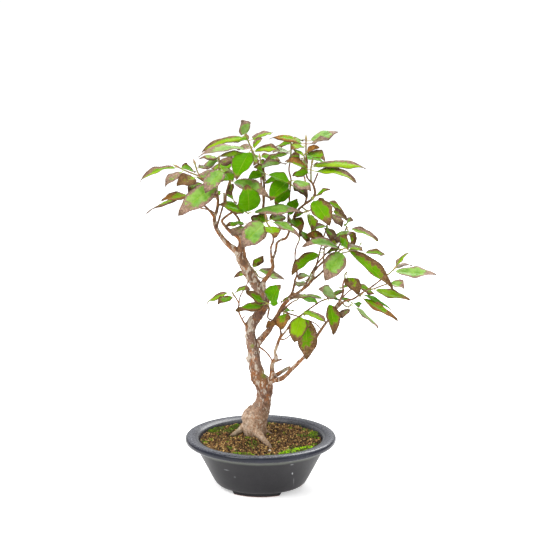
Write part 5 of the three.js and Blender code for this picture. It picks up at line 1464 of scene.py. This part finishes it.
# %% The flat blade that every leaf is copied from
BLADE_ROWS = 40
VEIN_PITCH = 7 * 1.25
VEIN_SLANT, VEIN_CURVE = 0.20, 1.3
COLUMNS = [-1, -0.84, -0.62, -0.4, -0.2, -0.07, 0, 0.07, 0.2, 0.4, 0.62, 0.84, 1]

start_fresh()
bpy.ops.mesh.primitive_grid_add(x_subdivisions=len(COLUMNS) - 1, y_subdivisions=BLADE_ROWS, size=2)
flat_blade = bpy.context.object
flat_blade.name = "flat_blade"
for vertex in flat_blade.data.vertices:
    vertex.co.x = COLUMNS[round((vertex.co.x + 1) / 2 * (len(COLUMNS) - 1))]
harden(flat_blade, "SOLIDIFY", thickness=0.01, offset=0)
blade_points = np.array([tuple(vertex.co) for vertex in flat_blade.data.vertices])
blade_out, blade_share = blade_points[:, 0], (blade_points[:, 1] + 1) / 2
blade_upper = np.sign(blade_points[:, 2])
print("flat blade", len(flat_blade.data.polygons) * 2, "triangles")


# %% Shaping one leaf
STALK_LENGTH, WIDTH_FACTOR = 2.4, 2.82
# Each tone is scorch, shade, warmth, lean and lit. A shade above about 0.55 paints sheen; lit is the share of
# the upper face, or of its near half for leaning tones, painted in the yellow-green of light shining through.
LEAF_TONES = {
    "c": (0.10, 0.30, 0.50, 0.0, 0.0), "g": (0.50, 0.46, 0.50, 0.1, 0.1), "b": (0.74, 0.38, 0.52, 0.1, 0.1),
    "p": (0.54, 0.88, 0.15, 0.0, 0.0), "s": (0.50, 0.98, 0.20, 0.1, 0.0), "w": (0.42, 1.20, 0.30, 0.0, 0.0),
    "y": (0.50, 0.55, 0.60, 0.1, 0.70), "a": (0.60, 0.62, 0.25, 0.5, 0.9), "e": (0.62, 0.60, 0.90, 0.5, 0.9),
    "o": (0.84, 0.55, 0.95, 0.0, 0.4), "t": (0.98, 0.95, 0.30, 0.1, 0.0), "v": (0.66, 0.80, 0.62, 0.1, 0.6),
    "n": (0.94, 0.45, 0.62, 0.0, 0.5), "d": (0.96, 0.10, 0.50, 0.1, 0.0), "m": (1.20, 0.20, 0.05, 0.0, 0.0),
    "r": (1.25, 0.50, 0.98, 0.0, 0.0),
}


def blade_frame(foot, tip, show):
    """The blade's base, its length, and the directions along it, out of its upper face and to its side."""
    start, end = spot(*foot), spot(*tip)
    along = (end - start).normalized()
    base = start + along * STALK_LENGTH * MM
    to_eye = (EYE * MM + POT_AXIS - base).normalized()
    facing = (to_eye - along * to_eye.dot(along)).normalized()
    edge = along.cross(facing)
    if edge.z < 0:
        edge.negate()
    up = facing * show + edge * math.sqrt(1 - show * show)
    return base, (end - base).length, along, up, along.cross(up)


def shape_blade(leaf, draw):
    """A copy of the flat blade, bent to one leaf of the table."""
    foot, tip, width, show, arch, tone = leaf
    base, length, along, up, side = blade_frame(foot, tip, show)
    fold = math.radians(16 + 8 * (draw() - 0.5))
    phase = 2 * math.pi * draw()
    curl = 0.05 + 0.09 * draw()
    roll = 0.9 * draw() - 0.25
    share, out = blade_share, blade_out
    half = width / 2 * MM * WIDTH_FACTOR * share**0.6 * (1 - share) ** 0.85
    half = half * (1 - 0.30 * np.clip((share - 0.7) / 0.2, 0, 1) * (1 - share) / 0.3) + 0.00012
    row = np.round(share * BLADE_ROWS).astype(int)
    inside = (row > 2) & (row < BLADE_ROWS - 1)
    tooth = np.where(inside & (row % 2 == 1), 0.30, -0.10) * MM * np.clip(width / 12, 0.6, 1.3)
    rim = np.abs(out) > 0.99
    outward = half * np.abs(out) + np.where(rim, tooth * np.where(inside, 1, 0), 0)
    ripple = 0.05 * width * MM * out * np.sin(9 * share + phase) * np.where(share < 0.97, 1, 0)
    swell = np.sin(np.pi * share)
    edge_wave = 0.032 * width * MM * np.abs(out) ** 3 * np.sin(17 * share + 2 * phase + 1.5 * np.sign(out))
    edge_wave = edge_wave * swell - roll * half * np.maximum(0, np.abs(out) - 0.45) ** 2 * 2.2
    lift = 4 * arch * share * (1 - share) - curl * np.maximum(0, share - 0.75) ** 2 * 6
    vein = (share - VEIN_SLANT * np.abs(out) ** VEIN_CURVE) * VEIN_PITCH
    across = np.sin(np.pi * np.clip(np.abs(out), 0, 1))
    quilt = 0.16 * MM * np.cos(2 * np.pi * vein) * across * swell
    rib = np.exp(-((out / 0.09) ** 2)) * (1 - share)
    body = np.where(blade_upper > 0, 0.13 - 0.10 * rib, -(0.13 + 0.42 * rib)) * MM
    tip_curl = 0.30 * length * np.maximum(0, share - 0.78) ** 2
    height = length * lift + outward * math.sin(fold) + ripple + edge_wave - quilt + body - tip_curl
    place = np.array(tuple(base)) + np.outer(length * share, along) + np.outer(height, up)
    place += np.outer(np.sign(out) * outward * math.cos(fold), side)
    mesh = flat_blade.data.copy()
    mesh.vertices.foreach_set("co", place.ravel())
    scorch, shade, warm, lean, lit = LEAF_TONES[tone]
    far = np.clip(out * 3, -1, 1) * math.copysign(1, side.y)
    tint = np.empty((len(place), 4))
    tint[:, 0] = scorch + lean * far
    tint[:, 1] = shade
    tint[:, 2] = warm + 0.3 * (draw() - 0.5)
    # Painted light: the alpha is lowered by the tone's lit share, on the whole upper face or its near half,
    # and is 0 on the underside; there the finish paints the yellow-green of light shining through.
    tint[:, 3] = np.where(blade_upper > 0, 1 - lit * (np.clip(0.5 - far, 0, 1) if lean > 0.3 else 1), 0)
    facts = mesh.color_attributes.new("leaf", "FLOAT_COLOR", "POINT")
    facts.data.foreach_set("color", tint.ravel())
    piece = in_scene("blade", mesh)
    face_outwards()
    return piece, base


# %% [markdown]
# Young stems and petioles are smooth, yellow-green where fresh and tan where they ripen. The blade is the
# most worked finish here. Its UV map runs across and along the blade, so the veins are drawn from it: a
# midrib, side veins that curve forward to the edge, and a fine net. Around the edge and tip the green
# breaks through mauve to brown and orange, where the sun has scorched it, in a ragged line made by noise.
# Some light passes through, which a Translucent shader adds.


# %% The veins and the green of a leaf
def blade_veins(finish, out, share):
    """Side veins and midrib together, the midrib alone, and the net between them."""
    rise = finish.scaled(finish.math("POWER", out, VEIN_CURVE), -VEIN_SLANT, share)
    turn = finish.math("FRACT", finish.scaled(rise, VEIN_PITCH, 0.5))
    apart = finish.math("ABSOLUTE", finish.math("SUBTRACT", turn, 0.5))
    side_vein = finish.span(apart, 0.03, 0.085, 1, 0)
    side_vein = finish.times(side_vein, finish.span(out, 0.72, 0.95, 1, 0))
    midrib = finish.span(out, 0.035, 0.085, 1, 0)
    veins = finish.math("MAXIMUM", finish.times(side_vein, 0.6), midrib)
    net = finish.add("ShaderNodeTexVoronoi", feature="DISTANCE_TO_EDGE")
    finish.join(finish.place, net.inputs["Vector"])
    net.inputs["Scale"].default_value = 900
    mesh_lines = finish.span(net.outputs["Distance"], 0.02, 0.10, 1, 0)
    return veins, midrib, mesh_lines


def blade_green(finish, shade, upper_unlit, out, cloud, veins, mesh_lines):
    """The living green: deeper, or paler with painted sheen, by the leaf's shade, and painted as lit from
    behind where the upper-face share is 0.
    """
    dark = finish.mix(cloud, (0.030, 0.150, 0.000), (0.075, 0.280, 0.000))
    fresh = finish.mix(cloud, (0.065, 0.280, 0.000), (0.200, 0.460, 0.000))
    pale = finish.mix(cloud, (0.200, 0.410, 0.030), (0.370, 0.550, 0.150))
    # Painted light: the yellow-green of light shining through the blade, used as the upper-face share falls;
    # on undersides it is also their paler colour.
    lit = finish.mix(cloud, (0.210, 0.400, 0.000), (0.400, 0.560, 0.000))
    green = finish.mix(finish.span(shade, 0.05, 0.5), dark, fresh)
    # Painted sheen: the pale green, and a grey-green for the palest leaves, stand for the top light's
    # reflection, more towards the edge and in cloudy patches.
    sheen = finish.scaled(out, 0.30, finish.scaled(cloud, 1.5, -0.90))
    green = finish.mix(finish.span(finish.plus(shade, sheen), 0.55, 0.95), green, pale)
    green = finish.mix(finish.span(shade, 0.90, 1.25, 0, 0.8), green, (0.400, 0.510, 0.250))
    green = finish.mix(upper_unlit, lit, green)
    green = finish.mix(finish.times(mesh_lines, 0.14), green, (0.18, 0.38, 0.01))
    green = finish.mix(finish.times(veins, 0.42), green, (0.300, 0.480, 0.010))
    deeper = finish.times(finish.span(finish.noise(75, 3, 0.6), 0.5, 0.62, 0, 0.45), upper_unlit)
    return finish.mix(deeper, green, dark)


# %% The scorched parts of a leaf
def blade_wear(finish, out, share, scorch, cloud, ragged):
    """How far the blade is worn: above 0 it changes colour. The edge and the tip go first."""
    near_edge = finish.math("POWER", out, 3.0)
    near_tip = finish.span(share, 0.55, 1.0, 0, 1.25)
    near_base = finish.span(share, 0.0, 0.12, 0.5, 0)
    worn = finish.math("SUBTRACT", finish.math("MAXIMUM", near_edge, near_tip), near_base)
    reach = finish.scaled(scorch, 1.00, -0.90)
    worn = finish.plus(worn, reach)
    worn = finish.plus(worn, finish.scaled(ragged, 1.4, -0.67))
    blotch = finish.scaled(cloud, 1.7, -0.85)
    return finish.plus(worn, finish.times(blotch, scorch)), near_tip


def blade_dead(finish, shade, warm, near_tip, cloud, ragged, fine):
    """The dead tissue: mauve, brown or rust, with darker and bleached spots."""
    mauve = finish.mix(finish.span(ragged, 0.3, 0.7), (0.170, 0.080, 0.050), (0.520, 0.325, 0.235))
    brown = finish.mix(finish.span(ragged, 0.3, 0.7), (0.100, 0.045, 0.020), (0.350, 0.185, 0.080))
    rust = finish.mix(finish.span(ragged, 0.3, 0.7), (0.240, 0.085, 0.015), (0.560, 0.260, 0.060))
    dead = finish.mix(finish.span(finish.scaled(cloud, 0.3, warm), 0.42, 0.56), mauve, brown)
    hot = finish.scaled(near_tip, 0.12, finish.scaled(cloud, 0.2, warm))
    dead = finish.mix(finish.span(hot, 0.82, 0.98), dead, rust)
    dead = finish.mix(finish.span(shade, 0.35, 0.05, 0, 0.6), dead, (0.045, 0.022, 0.010))
    dead = finish.mix(finish.span(shade, 0.75, 1.0, 0, 0.45), dead, (0.520, 0.370, 0.270))
    dead = finish.mix(finish.span(fine, 0.54, 0.66, 0, 0.45), dead, (0.085, 0.040, 0.024))
    spots = finish.noise(560, 3, 0.6)
    dead = finish.mix(finish.span(spots, 0.50, 0.60, 0, 0.55), dead, (0.100, 0.045, 0.028))
    cool = finish.span(warm, 0.55, 0.30)
    bleached = finish.times(finish.span(spots, 0.44, 0.36, 0, 0.5), cool)
    return finish.mix(bleached, dead, (0.620, 0.450, 0.320))


# %% The finish of a leaf
def make_blade():
    """A leaf's finish: green, then a coloured rim, dead tissue, darker border and flecks over it."""
    finish = Finish("stewartia_leaf")
    uv = finish.add("ShaderNodeSeparateXYZ")
    finish.join(finish.add("ShaderNodeTexCoord").outputs["UV"], uv.inputs[0])
    across = finish.scaled(uv.outputs[0], 2.0, -1.0)
    out, share = finish.math("ABSOLUTE", across), uv.outputs[1]
    facts = finish.add("ShaderNodeAttribute", attribute_name="leaf")
    facts_parts = finish.add("ShaderNodeSeparateColor")
    finish.join(facts.outputs["Color"], facts_parts.inputs[0])
    scorch, shade, warm = facts_parts.outputs
    upper_unlit = facts.outputs["Alpha"]
    cloud = finish.noise(110, 4, 0.6)
    ragged = finish.noise(330, 5, 0.65, warp=0.4)
    fine = finish.noise(1100, 3, 0.6)

    veins, midrib, mesh_lines = blade_veins(finish, out, share)
    green = blade_green(finish, shade, upper_unlit, out, cloud, veins, mesh_lines)
    worn, near_tip = blade_wear(finish, out, share, scorch, cloud, ragged)
    dead = blade_dead(finish, shade, warm, near_tip, cloud, ragged, fine)
    rim_colour = finish.mix(finish.span(shade, 0.6, 0.85), (0.270, 0.270, 0.030), (0.260, 0.110, 0.095))
    colour = finish.mix(finish.span(worn, 0.01, 0.08, 0, 0.8), green, rim_colour)
    colour = finish.mix(finish.span(worn, 0.12, 0.20, 0, 0.95), colour, dead)
    colour = finish.mix(finish.span(worn, 0.55, 0.95, 0, 0.55), colour, (0.085, 0.036, 0.018))
    border = finish.span(finish.math("MAXIMUM", out, share), 0.86, 0.97, 0, 0.5)
    colour = finish.mix(border, colour, (0.080, 0.042, 0.016))
    flecks = finish.span(finish.noise(300, 4, 0.7), 0.63, 0.67, 0, 0.75)
    flecks = finish.times(flecks, finish.span(scorch, 0.35, 0.80))
    colour = finish.mix(flecks, colour, (0.085, 0.038, 0.012))
    colour = finish.mix(finish.times(midrib, 0.35), colour, (0.42, 0.50, 0.06))

    height = finish.scaled(veins, -0.8, finish.times(mesh_lines, -0.18))
    relief = finish.bump(height, 0.5, 0.0005)
    relief = finish.bump(fine, 0.16, 0.0003, relief)
    rough = finish.scaled(finish.span(worn, 0.1, 0.4), 0.22, 0.40)
    finish.dress(colour, finish.scaled(upper_unlit, -0.06, rough), relief, 0.2)
    finish.join(finish.span(shade, 0.5, 0.95, 0.06, 0.45), finish.shader.inputs["Specular IOR Level"])
    through = finish.add("ShaderNodeBsdfTranslucent")
    glow = finish.mix(0.5, colour, (0.40, 0.62, 0.000))
    glow = finish.mix(finish.span(worn, 0.1, 0.3), glow, colour)
    finish.join(glow, through.inputs["Color"])
    finish.join(relief, through.inputs["Normal"])
    both = finish.add("ShaderNodeMixShader")
    both.inputs[0].default_value = 0.34
    finish.join(finish.shader.outputs[0], both.inputs[1])
    finish.join(through.outputs[0], both.inputs[2])
    finish.tree.links.new(both.outputs[0], finish.output.inputs["Surface"])
    return finish.material


# %% The finishes of stem and bud
def make_stem(name, fresh, ripe):
    """A smooth stem or bud scale between two colours."""
    finish = Finish(name)
    patch = finish.noise(160, 4, 0.6)
    fine = finish.noise(1400, 3, 0.6)
    colour = finish.ramp(patch, [(0.38, fresh), (0.62, ripe)])
    colour = finish.mix(finish.span(fine, 0.5, 0.8, 0, 0.4), colour, (0.16, 0.085, 0.035))
    return finish.dress(colour, 0.5, finish.bump(fine, 0.3, 0.0002), 0.4)


blade_finish = make_blade()
stem_finish = make_stem("young_stem", (0.200, 0.220, 0.030), (0.200, 0.095, 0.045))
stalk_finish = make_stem("leaf_stalk", (0.340, 0.440, 0.050), (0.380, 0.230, 0.090))
bud_finish = make_stem("bud_scales", (0.330, 0.300, 0.080), (0.300, 0.140, 0.075))
print("finishes", [made.name for made in (blade_finish, stem_finish, stalk_finish, bud_finish)])


# %% [markdown]
# A shoot is put together from its stem, a petiole to each blade that widens where it meets them, the blades,
# and a pointed bud with a second scale beside it. All of it is joined into one piece for its packed sub-part.


# %% Building the shoots
def nearest_on(places, point):
    """The place on a chain of straight spans nearest to a point, a little short of each span's ends."""
    best = None
    for start, end in zip(places, places[1:]):
        span = end - start
        share = min(max((point - start).dot(span) / span.length_squared, 0.12), 0.88)
        place = start + span * share
        if best is None or (place - point).length < (best - point).length:
            best = place
    return best


def petiole(root, base, foot, along):
    """A curved leaf stalk, a little thicker at both ends."""
    bend = foot + Vector((0, 0, 0.35 * MM))
    places = [root, root.lerp(bend, 0.6), base - along * 1.6 * MM, base + along * 1.5 * MM]
    points = []
    for k in range(9):
        share = k / 8
        points.append((along_path(places, share), 0.40 + 0.16 * (1 - share) ** 3 - 0.12 * share**4))
    return dressed(sweep(points, "petiole", 8), stalk_finish)


def bud_at(tip, heading, draw):
    """A winter bud: a fat pointed spindle with a second scale beside it."""
    outline = [(-1.5, 0.4), (-0.4, 0.78), (0.8, 1.06), (2.0, 1.08), (3.2, 0.84), (4.6, 0.44), (6, 0.1)]
    lean = Vector((draw() - 0.5, draw() - 0.5, draw() - 0.5)).cross(heading).normalized()
    main = [(tip + heading * reach * MM, radius) for reach, radius in outline]
    scale_points = [
        (tip + heading * reach * 0.72 * MM + lean * 0.42 * MM * math.sin(1 + 0.3 * k), radius * 0.72)
        for k, (reach, radius) in enumerate(outline)
    ]
    return [dressed(sweep(points, "bud", 10), bud_finish) for points in (main, scale_points)]


def build_shoot(name, row, seed):
    """One shoot of the table, joined into one piece."""
    branch, share, stem, bud, leaves = row
    draw = seeded(seed)
    carrier = [spot(*place[:3]) for place in BRANCHES[branch]]
    places = [along_path(carrier, share), *(spot(*place) for place in stem)]
    steps = max(4, 3 * (len(places) - 1))
    points = [(along_path(places, k / steps), 0.86 - 0.16 * k / steps) for k in range(steps + 1)]
    pieces = [dressed(sweep(points, "stem", 8), stem_finish)]
    if bud:
        heading = (places[-1] - places[-2]).normalized()
        pieces += bud_at(places[-1], heading, seeded(seed + 500))
    for leaf in leaves:
        foot, tip = spot(*leaf[0]), spot(*leaf[1])
        blade, base = shape_blade(leaf, draw)
        stalk = petiole(nearest_on(places, foot), base, foot, (tip - foot).normalized())
        pieces += [dressed(blade, blade_finish), stalk]
    return merge(pieces, "leaves_" + name)


total = 0
for k, (name, row) in enumerate(SHOOTS.items()):
    shoot = build_shoot(name, row, 100 + k)
    hand_over(shoot, ["shoot_" + name], angle=50)
    total += len(shoot.data.polygons) * 2
bpy.data.objects.remove(flat_blade)
print(len(SHOOTS), "shoots, about", total, "triangles")
